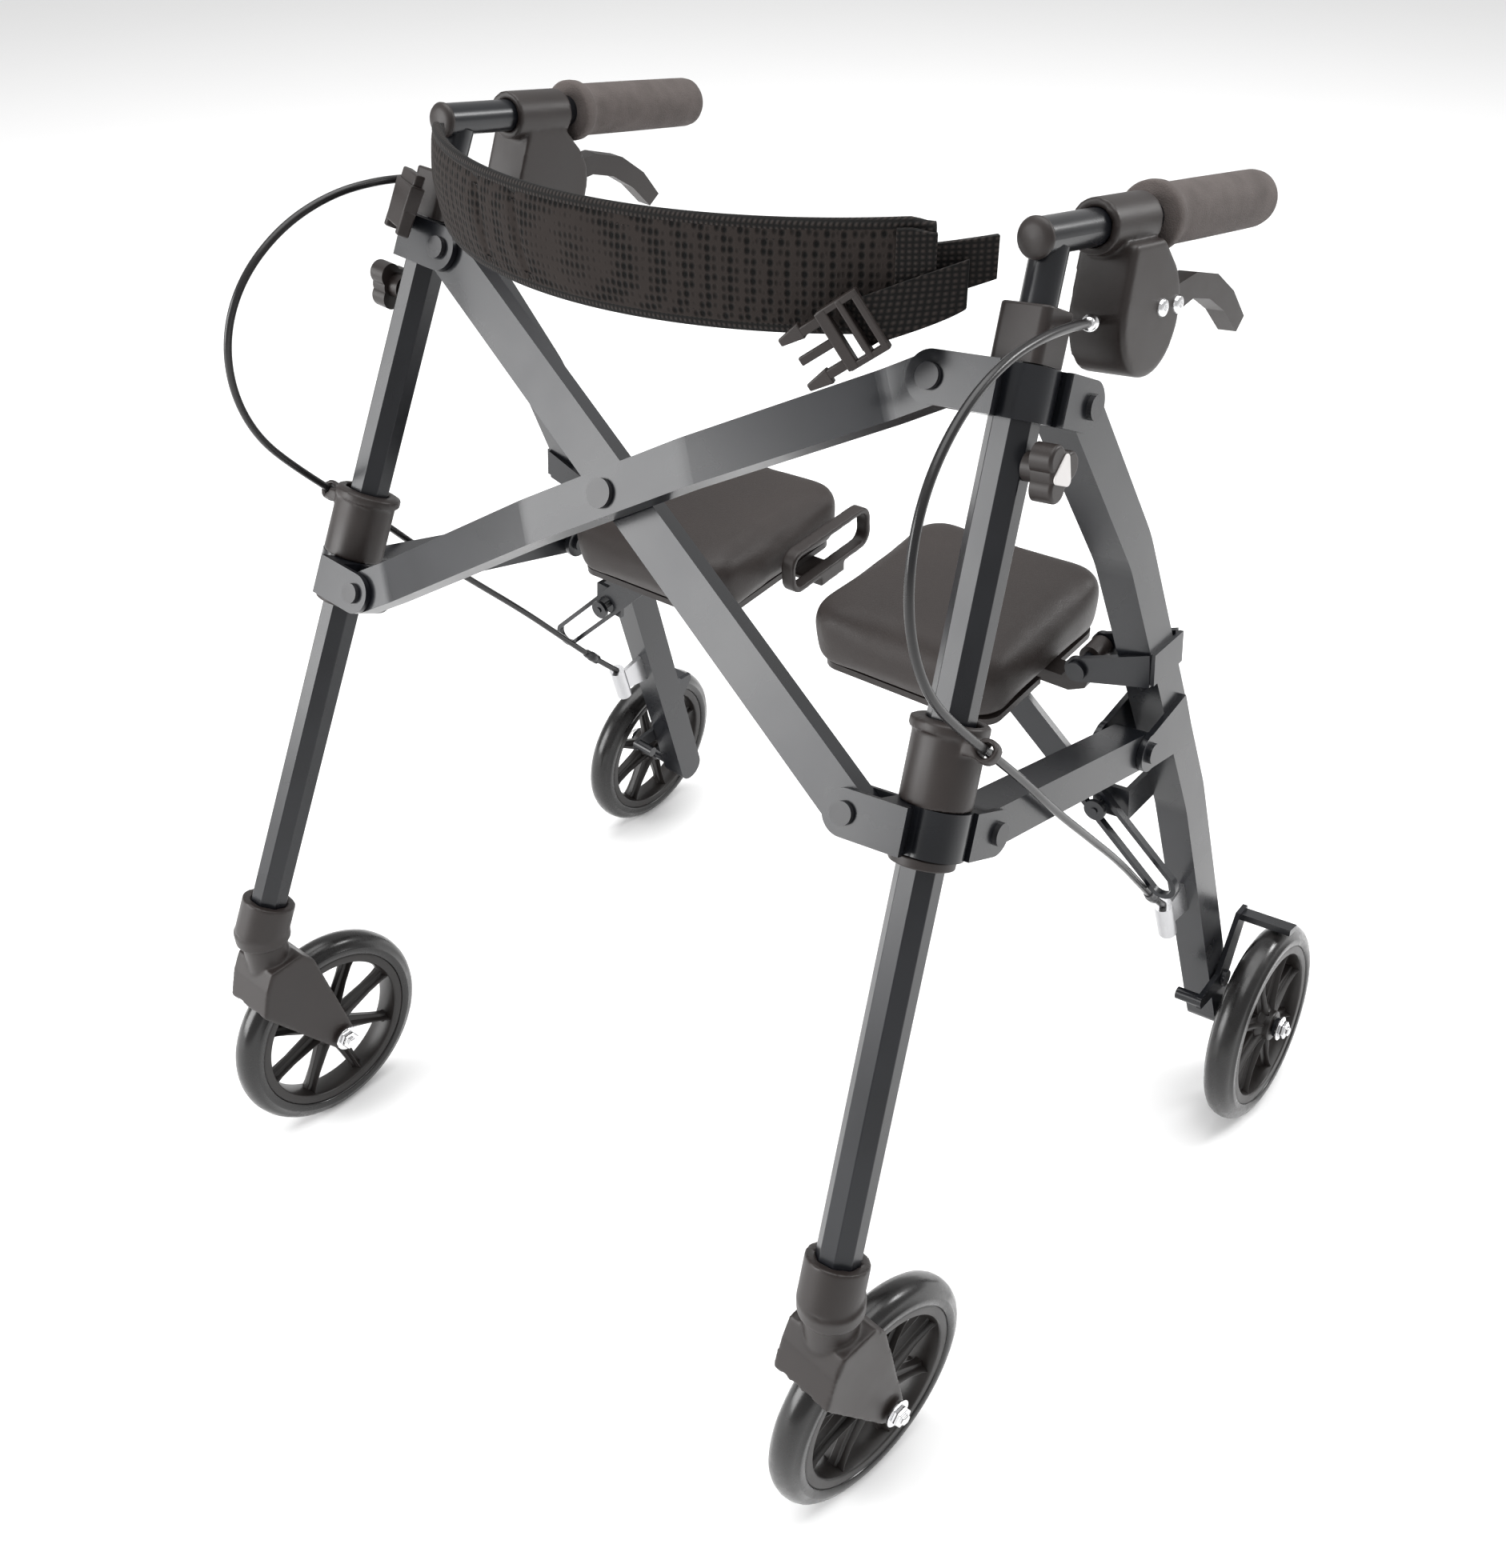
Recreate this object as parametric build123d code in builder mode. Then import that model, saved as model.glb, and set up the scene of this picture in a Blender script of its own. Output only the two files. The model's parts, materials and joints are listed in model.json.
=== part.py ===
from build123d import *
import os
from math import atan, atan2, cos, degrees, hypot, radians, sin, tan

# ---------------------------------------------------------------------------
# Folding four-wheel walker with a split seat.
# Millimetres, +Z up, the front wheels face -Y, the user stands at +Y.
# Every right-hand piece is modelled in place; its left-hand twin is a mirror.
# ---------------------------------------------------------------------------

# Scissor bars: half lengths above and below the centre bolt, and the open angle
ARM_UP = 218.5
ARM_LOW = 242.2
OPEN_ANGLE = radians(30.85)
LEAN = radians(24.0)
SPLAY = atan((ARM_LOW - ARM_UP) / (ARM_LOW + ARM_UP) / tan(OPEN_ANGLE))

# Front legs
FOOT_Y = -268.6
FOOT_Z = 222.0
CENTRE_U = 402.5
CLEVIS_REACH = 38.8
LEG_FLATS = 26.0
LEG_BORE_R = 10.1
LEG_LENGTH = 534.5
STEM_R = 10.0
RING_R = 19.0
FIT = 0.05
PIN_R = 4.0
HEAD_R = 7.0
HEAD_H = 3.0

# Brackets on the front legs
BRACKET_H = 28.0
CHEEK = 4.0
BAR_MID_N = 17.0
BAR_THICK = 15.0
BAR_WIDE = 28.0
BAR_GAP = 16.0
BAR_BOW = 17.0
BOW_FLAT = 62.0
SIDE_REACH = 36.0
SIDE_X = 8.0
SIDE_GAP = 25.0
SLIDER_PLAY = 4.2
SLIDER_FIT = 0.25

# Slider sleeve and its cable guide
SLEEVE_H = 48.0
SLEEVE_R = 20.0
GUIDE_POINT = (29.0, -139.0, 531.0)
GUIDE_HOLE_R = 4.2

# Rear legs, in the side plane (Y and the tilted height)
REAR_DEPTH = 28.0
REAR_KNEE = (50.0, 570.0)
REAR_BEND = (155.0, 338.0)
REAR_AXLE = (242.0, 80.15)
LINK_REAR = (70.0, 420.0)
LINK_DEPTH = 25.0
LINK_WIDE = 24.0
REAR_WHEEL_X = 52.0
AXLE_R = 5.0

# Wheels and casters
WHEEL_R = 85.0
TYRE_HALF = 12.5
RIM_R = 69.0
RIM_IN_R = 61.0
HUB_R = 13.0
HUB_HALF = 14.0
SPOKES = 8
SPOKE_W = 5.0
SPOKE_HALF = 8.0
SWIVEL = (272.5, -272.5)
TRAIL = 36.5
CASTER_TURN_R = -7.0
CASTER_TURN_L = -2.0
SOCKET_R = 21.0
SOCKET_LOW = 204.0
SOCKET_TOP = 215.0
STEM_PIN_R = 6.0
BARREL_R = 17.0
FORK_HALF = 23.0
FORK_SLOT_HALF = 16.0
FORK_CLEAR_R = 90.0

# Handles
HANDLE_START = (218.6, -42.0, 769.5)
HANDLE_DIR = (0.0364, 0.9906, -0.1312)
HANDLE_R = 10.0
HANDLE_LENGTH = 250.0
HANDLE_BORE_R = 8.0
STEM_LOW = 372.0
STEM_HIGH = 594.0
GRIP_START = 118.0
GRIP_END = 257.0
GRIP_R = 17.0
CLAMP_START = 58.0
CLAMP_END = 108.0
CLAMP_R = 15.0
COLLAR_H = 29.0
COLLAR_SIDE = 30.0
KNOB_V = 484.0

# Brake housing and lever, in the side plane
DISC = (47.0, 713.0)
DISC_R = 34.5
HOUSING_IN = -12.0
HOUSING_OUT = 22.0
LEVER_PIVOT = (76.0, 711.0)
LEVER_IN = 6.0
LEVER_OUT = 18.0

# Seat halves: heights are from the hinge rod, distances along the rod from its middle
SEAT_TILT = 4.0
SEAT_MID_Y = 86.0
HINGE_X = 216.0
HINGE_Z = 462.0
CUSHION_IN = 38.0
CUSHION_OUT = 190.0
CUSHION_HALF_D = 80.0
CUSHION_LOW = -22.0
CUSHION_HIGH = 24.0
PAN_IN = 46.0
PAN_OUT = 186.0
PAN_HALF_D = 72.0
PAN_LOW = -27.0
KNUCKLE_R = 8.0
KNUCKLE_FROM = 3.0
KNUCKLE_TO = 20.0
YOKE_FRONT = -15.0
YOKE_REAR = 21.0
YOKE_EYE_R = 9.0
YOKE_HEIGHT = 480.0
ROD_R = 4.0

# Slotted braces that prop the seat halves
BRACE_AT = -2.0
BRACE_T = 5.0
BRACE_HALF_W = 11.0
BRACE_SLOT_HALF = 7.4
BRACE_PIVOT = (150.0, -36.0)
BRACE_BOLT = (236.7, -113.6)
BRACE_PIN_R = 2.5
BRACE_SLOT_FROM = 111.0
BRACE_SLOT_TO = 188.0
GROOVE_DEPTH = 12.0

# Brake arm and cable adjuster, in the side plane
ARM_PIVOT = (226.0, 125.0)
SHOE_AT = (259.0, 168.0)
ARM_IN = 21.0
ADJUSTER_TOP = (140.0, 246.0)
ADJUSTER_R = 7.0
ADJUSTER_L = 34.0

# Back strap and seat pull loop
BAND_TOP = 783.0
BAND_LOW = 722.0
BAND_T = 8.0
BAND_END = (205.0, -55.0)
BAND_MID_Y = -150.0
PULL_X = -23.0
PULL_W = 11.0
PULL_T = 4.5

# Brake cable
CABLE_R = 2.6

# ---------------------------------------------------------------------------
# Frames that the leaning legs and the tilted side frames give
# ---------------------------------------------------------------------------
TILT = atan(tan(SPLAY) / cos(LEAN))
TOP_U = CENTRE_U + ARM_UP * sin(OPEN_ANGLE)
LOW_U = CENTRE_U - ARM_LOW * sin(OPEN_ANGLE)
TOP_X = ARM_UP * cos(OPEN_ANGLE)
LOW_X = ARM_LOW * cos(OPEN_ANGLE)
FOOT_X = LOW_X + CLEVIS_REACH + tan(SPLAY) * LOW_U
SIDE_X0 = FOOT_X + FOOT_Z * tan(TILT)
TOP_V = TOP_U / cos(SPLAY) + CLEVIS_REACH * sin(SPLAY)
LOW_V = LOW_U / cos(SPLAY) + CLEVIS_REACH * sin(SPLAY)
REACH = CLEVIS_REACH * cos(SPLAY)

OUTBOARD = Vector(cos(TILT), 0, sin(TILT))
UPRIGHT = Vector(-sin(TILT), 0, cos(TILT))
LEG_UP = Vector(-sin(SPLAY), cos(SPLAY) * sin(LEAN), cos(SPLAY) * cos(LEAN))
FRONTAL = Vector(0, -cos(LEAN), sin(LEAN))

FOOT = Vector(FOOT_X, FOOT_Y, FOOT_Z)
LEG = Plane(origin=FOOT, x_dir=OUTBOARD, z_dir=LEG_UP)
LEG_FRONT = Plane(origin=FOOT, x_dir=(-FRONTAL).cross(LEG_UP), z_dir=LEG_UP)
SIDE = Plane(origin=(SIDE_X0, 0, 0), x_dir=(0, 1, 0), z_dir=OUTBOARD)
SCISSOR = Plane(origin=(0, FOOT_Y, FOOT_Z), x_dir=(1, 0, 0), z_dir=FRONTAL)
HANDLE = Plane(origin=HANDLE_START, x_dir=(1, 0, 0), z_dir=HANDLE_DIR)
SEAT_UP = Vector(0, -sin(radians(SEAT_TILT)), cos(radians(SEAT_TILT)))
SEAT_BACK = Vector(0, cos(radians(SEAT_TILT)), sin(radians(SEAT_TILT)))
SEAT = Plane(origin=(0, SEAT_MID_Y, HINGE_Z), x_dir=(1, 0, 0), z_dir=SEAT_UP)
SEAT_CROSS = Plane(origin=(0, SEAT_MID_Y, HINGE_Z), x_dir=(1, 0, 0), z_dir=-SEAT_BACK)


def side_point(outboard, y, height):
    """A point given in the right-hand side frame."""
    return Vector(SIDE_X0, 0, 0) + OUTBOARD * outboard + Vector(0, y, 0) + UPRIGHT * height


def leg_point(outboard, rearward, along):
    """A point given in the right-hand leg's own frame."""
    return FOOT + LEG.x_dir * outboard + LEG.y_dir * rearward + LEG_UP * along


def to_side(point):
    """Y and tilted height of a point."""
    return point.Y, (point - Vector(SIDE_X0, 0, 0)).dot(UPRIGHT)


SIDE_PIN_TOP = to_side(leg_point(SIDE_X, SIDE_REACH, TOP_V))
SIDE_PIN_LOW = to_side(leg_point(SIDE_X, SIDE_REACH, LOW_V))

# ---------------------------------------------------------------------------
# Front leg tube with a round bore for the handle stem
# ---------------------------------------------------------------------------
with BuildPart() as leg_tube:
    with BuildSketch(LEG):
        RegularPolygon(radius=LEG_FLATS / 2, side_count=8, major_radius=False, rotation=22.5)
        Circle(LEG_BORE_R, mode=Mode.SUBTRACT)
    extrude(amount=LEG_LENGTH)
    fillet(leg_tube.edges().filter_by(Axis((0, 0, 0), LEG_UP)), radius=1.2)


def leg_bore(clearance, play):
    """Octagonal bore that slides on the leg, lengthened outboard by play."""
    half = LEG_FLATS / 2 + clearance
    RegularPolygon(radius=half, side_count=8, major_radius=False, rotation=22.5)
    if play:
        with Locations((play, 0)):
            RegularPolygon(radius=half, side_count=8, major_radius=False, rotation=22.5)
        with Locations((play / 2, 0)):
            Rectangle(play, 2 * half)


def clevis_bracket(mid_v, play):
    """Bracket round a front leg with a fork for a scissor bar and a fork for the side frame."""
    low = mid_v - BRACKET_H / 2
    rear = BAR_MID_N - BAR_GAP / 2
    front = BAR_MID_N + BAR_GAP / 2
    inner = SIDE_X - SIDE_GAP / 2
    outer = SIDE_X + SIDE_GAP / 2
    with BuildPart() as bracket:
        with BuildSketch(LEG_FRONT.offset(low)):
            Circle(RING_R)
            with Locations((play, 0)):
                Circle(RING_R)
            for n in (rear - CHEEK / 2, front + CHEEK / 2):
                with Locations((-REACH / 2, -n)):
                    Rectangle(REACH, CHEEK)
            with Locations((-RING_R / 2 - 1, -(rear + front) / 2)):
                Rectangle(RING_R - 2, front - rear)
        extrude(amount=BRACKET_H)
        with BuildSketch(LEG.offset(low)):
            for x in (inner - CHEEK / 2, outer + CHEEK / 2):
                with Locations((x, SIDE_REACH / 2 + 4)):
                    Rectangle(CHEEK, SIDE_REACH - 8)
            with Locations((SIDE_X, RING_R - 4)):
                Rectangle(SIDE_GAP + 2 * CHEEK, 10)
        extrude(amount=BRACKET_H)
        for n in (rear - CHEEK, front):
            eye = FOOT + LEG_UP * mid_v - LEG_FRONT.x_dir * REACH + FRONTAL * n
            with BuildSketch(Plane(origin=eye, x_dir=(1, 0, 0), z_dir=FRONTAL)):
                Circle(BRACKET_H / 2)
            extrude(amount=CHEEK)
        for x in (inner - CHEEK, outer):
            eye = leg_point(x, SIDE_REACH, mid_v)
            with BuildSketch(Plane(origin=eye, x_dir=(0, 1, 0), z_dir=OUTBOARD)):
                Circle(BRACKET_H / 2)
            extrude(amount=CHEEK)
        with BuildSketch(LEG.offset(low)):
            leg_bore(SLIDER_FIT if play else FIT, play)
        extrude(amount=BRACKET_H, mode=Mode.SUBTRACT)
        eye = FOOT + LEG_UP * mid_v - LEG_FRONT.x_dir * REACH
        with BuildSketch(Plane(origin=eye, x_dir=(1, 0, 0), z_dir=FRONTAL)):
            Circle(PIN_R + FIT)
        extrude(amount=2 * front, mode=Mode.SUBTRACT)
        side_eye = leg_point(inner - 2 * CHEEK, SIDE_REACH, mid_v)
        with BuildSketch(Plane(origin=side_eye, x_dir=(0, 1, 0), z_dir=OUTBOARD)):
            Circle(PIN_R + FIT)
        extrude(amount=SIDE_GAP + 4 * CHEEK, mode=Mode.SUBTRACT)
    return bracket.part


def headed_pin(start, direction, length):
    """A round pin with a low head on each end; start is the face that the first head lies on."""
    across = Vector(0, 0, 1).cross(direction)
    with BuildPart() as pin:
        with BuildSketch(Plane(origin=start - direction * HEAD_H, x_dir=across, z_dir=direction)):
            Circle(PIN_R)
        extrude(amount=length + 2 * HEAD_H)
        for shift in (-HEAD_H, length):
            with BuildSketch(Plane(origin=start + direction * shift, x_dir=across, z_dir=direction)):
                Circle(HEAD_R)
            extrude(amount=HEAD_H)
    return pin.part


def clevis_pins(mid_v):
    """The scissor pin and the side pin of one bracket."""
    rear = BAR_MID_N - BAR_GAP / 2 - CHEEK
    eye = FOOT + LEG_UP * mid_v - LEG_FRONT.x_dir * REACH
    scissor_pin = headed_pin(eye + FRONTAL * rear, FRONTAL, BAR_GAP + 2 * CHEEK)
    inner = SIDE_X - SIDE_GAP / 2 - CHEEK
    side_pin = headed_pin(leg_point(inner, SIDE_REACH, mid_v), OUTBOARD, SIDE_GAP + 2 * CHEEK)
    return Compound(children=[scissor_pin, side_pin])


top_bracket = clevis_bracket(TOP_V, 0)
slider_bracket = clevis_bracket(LOW_V, SLIDER_PLAY)
leg_pins = clevis_pins(TOP_V)
slider_pins = clevis_pins(LOW_V)

# ---------------------------------------------------------------------------
# Plastic collar that guides the handle stem
# ---------------------------------------------------------------------------
with BuildPart() as stem_collar:
    with BuildSketch(LEG.offset(LEG_LENGTH + FIT)):
        RectangleRounded(COLLAR_SIDE, COLLAR_SIDE, 5)
    extrude(amount=COLLAR_H)
    fillet(stem_collar.faces().sort_by(Axis((0, 0, 0), LEG_UP))[-1].edges(), radius=1.5)
    with BuildSketch(LEG.offset(LEG_LENGTH)):
        Circle(STEM_R + FIT)
    extrude(amount=2 * COLLAR_H, mode=Mode.SUBTRACT)

# ---------------------------------------------------------------------------
# Plastic socket under the leg: a sleeve on the tube and a level caster bearing
# ---------------------------------------------------------------------------
with BuildPart() as caster_socket:
    with BuildSketch(LEG.offset(-14)):
        Circle(SOCKET_R - 1)
    extrude(amount=30)
    with BuildSketch(Plane((SWIVEL[0], SWIVEL[1], SOCKET_LOW))):
        Circle(SOCKET_R)
    extrude(amount=SOCKET_TOP - SOCKET_LOW)
    with BuildSketch(Plane((SWIVEL[0], SWIVEL[1], SOCKET_LOW - 30))):
        Circle(3 * SOCKET_R)
    extrude(amount=30, mode=Mode.SUBTRACT)
    with BuildSketch(LEG.offset(-FIT)):
        RegularPolygon(radius=LEG_FLATS / 2 + FIT, side_count=8, major_radius=False, rotation=22.5)
    extrude(amount=40, mode=Mode.SUBTRACT)
    with BuildSketch(Plane((SWIVEL[0], SWIVEL[1], SOCKET_LOW))):
        Circle(STEM_PIN_R + FIT)
    extrude(amount=9, mode=Mode.SUBTRACT)

# ---------------------------------------------------------------------------
# Caster fork: barrel, saddle over the tyre, two cheeks and the axle
# ---------------------------------------------------------------------------
WHEEL_Y = SWIVEL[1] + TRAIL
CROSS = Plane(origin=(SWIVEL[0], 0, 0), x_dir=(0, 1, 0), z_dir=(1, 0, 0))
with BuildPart() as caster_fork:
    with BuildSketch(CROSS.offset(-FORK_HALF)):
        with BuildLine():
            Polyline(
                (SWIVEL[1] - 27, 150),
                (SWIVEL[1] - 20, 172),
                (SWIVEL[1] - 12, 186),
                (SWIVEL[1] + 16, 188),
                (SWIVEL[1] + 26, 176),
                (WHEEL_Y + 11, WHEEL_R),
                (WHEEL_Y + 4, WHEEL_R - 12),
                (WHEEL_Y - 8, WHEEL_R - 9),
                (SWIVEL[1] - 27, 150),
            )
        make_face()
    extrude(amount=2 * FORK_HALF)
    with BuildSketch(Plane((SWIVEL[0], SWIVEL[1], 150))):
        Circle(BARREL_R)
    extrude(amount=SOCKET_LOW - 0.5 - 150)
    with BuildSketch(CROSS.offset(-FORK_SLOT_HALF)):
        with Locations((WHEEL_Y, WHEEL_R)):
            Circle(FORK_CLEAR_R)
    extrude(amount=2 * FORK_SLOT_HALF, mode=Mode.SUBTRACT)
    with BuildSketch(Plane((SWIVEL[0], SWIVEL[1], SOCKET_LOW - 10))):
        Circle(STEM_PIN_R)
    extrude(amount=18)
    with BuildSketch(CROSS.offset(-FORK_HALF - 4)):
        with Locations((WHEEL_Y, WHEEL_R)):
            Circle(AXLE_R)
    extrude(amount=2 * FORK_HALF + 8)
    for side in (-FORK_HALF - 4, FORK_HALF):
        with BuildSketch(CROSS.offset(side)):
            with Locations((WHEEL_Y, WHEEL_R)):
                Circle(HEAD_R)
        extrude(amount=4)


def wheel_hub(plane):
    """Spoked wheel centred on the plane's origin, its axle along the plane's normal."""
    with BuildPart() as hub:
        with BuildSketch(plane.offset(-HUB_HALF)):
            Circle(HUB_R)
        extrude(amount=2 * HUB_HALF)
        with BuildSketch(plane.offset(-TYRE_HALF + 1.5)):
            Circle(RIM_R)
            Circle(RIM_IN_R, mode=Mode.SUBTRACT)
        extrude(amount=2 * TYRE_HALF - 3)
        with BuildSketch(plane.offset(-SPOKE_HALF)):
            with PolarLocations((HUB_R + RIM_IN_R) / 2, SPOKES):
                Rectangle(RIM_IN_R - HUB_R + 4, SPOKE_W)
        extrude(amount=2 * SPOKE_HALF)
        with BuildSketch(plane.offset(-HUB_HALF)):
            Circle(AXLE_R + FIT)
        extrude(amount=2 * HUB_HALF, mode=Mode.SUBTRACT)
    return hub.part


def wheel_tyre(plane):
    """Round-shouldered tyre on the rim."""
    with BuildPart() as tyre:
        with BuildSketch(plane.offset(-TYRE_HALF)):
            Circle(WHEEL_R)
            Circle(RIM_R + FIT, mode=Mode.SUBTRACT)
        extrude(amount=2 * TYRE_HALF)
        fillet(tyre.edges().filter_by(GeomType.CIRCLE).sort_by(SortBy.RADIUS)[-2:], radius=9)
    return tyre.part


front_wheel_plane = Plane(origin=(SWIVEL[0], WHEEL_Y, WHEEL_R), x_dir=(0, 1, 0), z_dir=(1, 0, 0))
rear_wheel_plane = Plane(origin=side_point(REAR_WHEEL_X, *REAR_AXLE), x_dir=(0, 1, 0), z_dir=OUTBOARD)
front_hub = wheel_hub(front_wheel_plane)
front_tyre = wheel_tyre(front_wheel_plane)
rear_hub = wheel_hub(rear_wheel_plane)
rear_tyre = wheel_tyre(rear_wheel_plane)

# ---------------------------------------------------------------------------
# Height knob on the outer side of the leg, under the top bracket
# ---------------------------------------------------------------------------
knob_plane = Plane(origin=leg_point(LEG_FLATS / 2 + FIT, 0, KNOB_V), x_dir=(0, 1, 0), z_dir=OUTBOARD)
with BuildPart() as height_knob:
    with BuildSketch(knob_plane):
        Circle(8)
    extrude(amount=8)
    with BuildSketch(knob_plane.offset(8)):
        Circle(11)
        with PolarLocations(9, 3):
            Circle(8)
    extrude(amount=13)
    fillet(height_knob.faces().sort_by(Axis((0, 0, 0), OUTBOARD))[-1].edges(), radius=2)


# ---------------------------------------------------------------------------
# Handle: a stem that telescopes in the leg, welded under a level tube
# ---------------------------------------------------------------------------
with BuildPart() as handle_tube:
    with BuildSketch(LEG.offset(STEM_LOW)):
        Circle(STEM_R)
    extrude(amount=STEM_HIGH - STEM_LOW)
    with BuildSketch(HANDLE):
        Circle(HANDLE_R)
    extrude(amount=HANDLE_LENGTH)
    with BuildSketch(HANDLE.offset(3)):
        Circle(HANDLE_BORE_R)
    extrude(amount=HANDLE_LENGTH, mode=Mode.SUBTRACT)
    with BuildSketch(LEG.offset(STEM_LOW)):
        Circle(STEM_R - 2)
    extrude(amount=STEM_HIGH - STEM_LOW - 18, mode=Mode.SUBTRACT)

with BuildPart() as grip:
    with BuildSketch(HANDLE.offset(GRIP_START)):
        Circle(GRIP_R)
    extrude(amount=GRIP_END - GRIP_START)
    fillet(grip.edges().filter_by(GeomType.CIRCLE).sort_by(Axis((0, 0, 0), HANDLE_DIR))[-1], radius=5)
    fillet(grip.edges().filter_by(GeomType.CIRCLE).sort_by(Axis((0, 0, 0), HANDLE_DIR))[0], radius=3)
    with BuildSketch(HANDLE.offset(GRIP_START)):
        Circle(HANDLE_R + FIT)
    extrude(amount=HANDLE_LENGTH - GRIP_START + FIT, mode=Mode.SUBTRACT)

# ---------------------------------------------------------------------------
# Brake housing: clamp ring, neck and round cable drum; the lever turns in its slot
# ---------------------------------------------------------------------------
with BuildPart() as brake_housing:
    with BuildSketch(SIDE.offset(HOUSING_IN)):
        with Locations(DISC):
            Circle(DISC_R)
        with Locations((DISC[0] - 19, DISC[1] + 38), (DISC[0] + 11, DISC[1] + 34)):
            Circle(4)
        make_hull()
    extrude(amount=HOUSING_OUT - HOUSING_IN)
    fillet(brake_housing.faces().sort_by(Axis((0, 0, 0), OUTBOARD))[-1].edges(), radius=3)
    with BuildSketch(HANDLE.offset(CLAMP_START)):
        Circle(CLAMP_R)
    extrude(amount=CLAMP_END - CLAMP_START)
    with BuildSketch(HANDLE.offset(CLAMP_START - 20)):
        Circle(HANDLE_R + FIT)
    extrude(amount=CLAMP_END - CLAMP_START + 40, mode=Mode.SUBTRACT)
    with BuildSketch(SIDE.offset(LEVER_IN - 0.5)):
        with Locations((LEVER_PIVOT[0] + 10, LEVER_PIVOT[1] + 2)):
            Rectangle(44, 30)
    extrude(amount=LEVER_OUT - LEVER_IN + 1, mode=Mode.SUBTRACT)
    with BuildSketch(SIDE.offset(LEVER_IN - 4)):
        with Locations(LEVER_PIVOT):
            Circle(3)
    extrude(amount=LEVER_OUT - LEVER_IN + 6)

with BuildPart() as brake_lever:
    with BuildSketch(SIDE.offset(LEVER_IN)):
        with Locations(LEVER_PIVOT):
            Circle(8)
        with BuildLine():
            Polyline(
                (LEVER_PIVOT[0] - 1, LEVER_PIVOT[1] + 8),
                (LEVER_PIVOT[0] + 34, LEVER_PIVOT[1] + 9),
                (LEVER_PIVOT[0] + 62, LEVER_PIVOT[1] + 1),
                (LEVER_PIVOT[0] + 86, LEVER_PIVOT[1] - 15),
                (LEVER_PIVOT[0] + 104, LEVER_PIVOT[1] - 35),
                (LEVER_PIVOT[0] + 94, LEVER_PIVOT[1] - 42),
                (LEVER_PIVOT[0] + 74, LEVER_PIVOT[1] - 24),
                (LEVER_PIVOT[0] + 52, LEVER_PIVOT[1] - 11),
                (LEVER_PIVOT[0] + 30, LEVER_PIVOT[1] - 5),
                (LEVER_PIVOT[0] + 2, LEVER_PIVOT[1] - 8),
                (LEVER_PIVOT[0] - 1, LEVER_PIVOT[1] + 8),
            )
        make_face()
        with Locations(LEVER_PIVOT):
            Circle(3 + FIT, mode=Mode.SUBTRACT)
    extrude(amount=LEVER_OUT - LEVER_IN)

# ---------------------------------------------------------------------------
# Slider sleeve with the cable guide eye
# ---------------------------------------------------------------------------
sleeve_low = LOW_V + BRACKET_H / 2 + FIT
GUIDE_RUN = side_point(0, 0.71, -0.71) - side_point(0, 0, 0)
with BuildPart() as slider_sleeve:
    with BuildSketch(LEG.offset(sleeve_low)):
        Circle(SLEEVE_R)
        with Locations((2, 0)):
            Circle(SLEEVE_R)
    extrude(amount=SLEEVE_H)
    fillet(slider_sleeve.faces().sort_by(Axis((0, 0, 0), LEG_UP))[-1].edges(), radius=1)
    with BuildSketch(LEG.offset(sleeve_low + SLEEVE_H - 7)):
        Circle(SLEEVE_R + 2.5)
    extrude(amount=6)
    eye = side_point(*GUIDE_POINT)
    arm_middle = (eye + side_point(16, GUIDE_POINT[1], GUIDE_POINT[2])) / 2
    with BuildSketch(Plane(origin=arm_middle, z_dir=LEG_UP)):
        Rectangle(16, 10)
    extrude(amount=4, both=True)
    with BuildSketch(Plane(origin=eye - GUIDE_RUN * 4, x_dir=OUTBOARD, z_dir=GUIDE_RUN)):
        Circle(GUIDE_HOLE_R + 3)
    extrude(amount=8)
    with BuildSketch(LEG.offset(sleeve_low)):
        leg_bore(SLIDER_FIT, SLIDER_PLAY)
    extrude(amount=SLEEVE_H + 10, mode=Mode.SUBTRACT)
    with BuildSketch(Plane(origin=eye - GUIDE_RUN * 15, x_dir=OUTBOARD, z_dir=GUIDE_RUN)):
        Circle(GUIDE_HOLE_R)
    extrude(amount=30, mode=Mode.SUBTRACT)

# ---------------------------------------------------------------------------
# Side link between the slider and the rear leg
# ---------------------------------------------------------------------------
with BuildPart() as side_link:
    with BuildSketch(SIDE.offset(SIDE_X - LINK_WIDE / 2)):
        link_dy = LINK_REAR[0] - SIDE_PIN_LOW[0]
        link_dz = LINK_REAR[1] - SIDE_PIN_LOW[1]
        with Locations(((LINK_REAR[0] + SIDE_PIN_LOW[0]) / 2, (LINK_REAR[1] + SIDE_PIN_LOW[1]) / 2)):
            Rectangle(hypot(link_dy, link_dz), LINK_DEPTH, rotation=degrees(atan2(link_dz, link_dy)))
        with Locations(SIDE_PIN_LOW, LINK_REAR):
            Circle(LINK_DEPTH / 2)
        with Locations(SIDE_PIN_LOW, LINK_REAR):
            Circle(PIN_R + FIT, mode=Mode.SUBTRACT)
    extrude(amount=LINK_WIDE)

# ---------------------------------------------------------------------------
# Rear leg with its welded seat yoke, link clevis, brace stirrup, cable tab and axle
# ---------------------------------------------------------------------------
def leg_y(height):
    """Y of the straight middle run of the rear leg at a height in the side plane."""
    run = (REAR_KNEE[1] - height) / (REAR_KNEE[1] - REAR_BEND[1])
    return REAR_KNEE[0] + run * (REAR_BEND[0] - REAR_KNEE[0])


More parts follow.
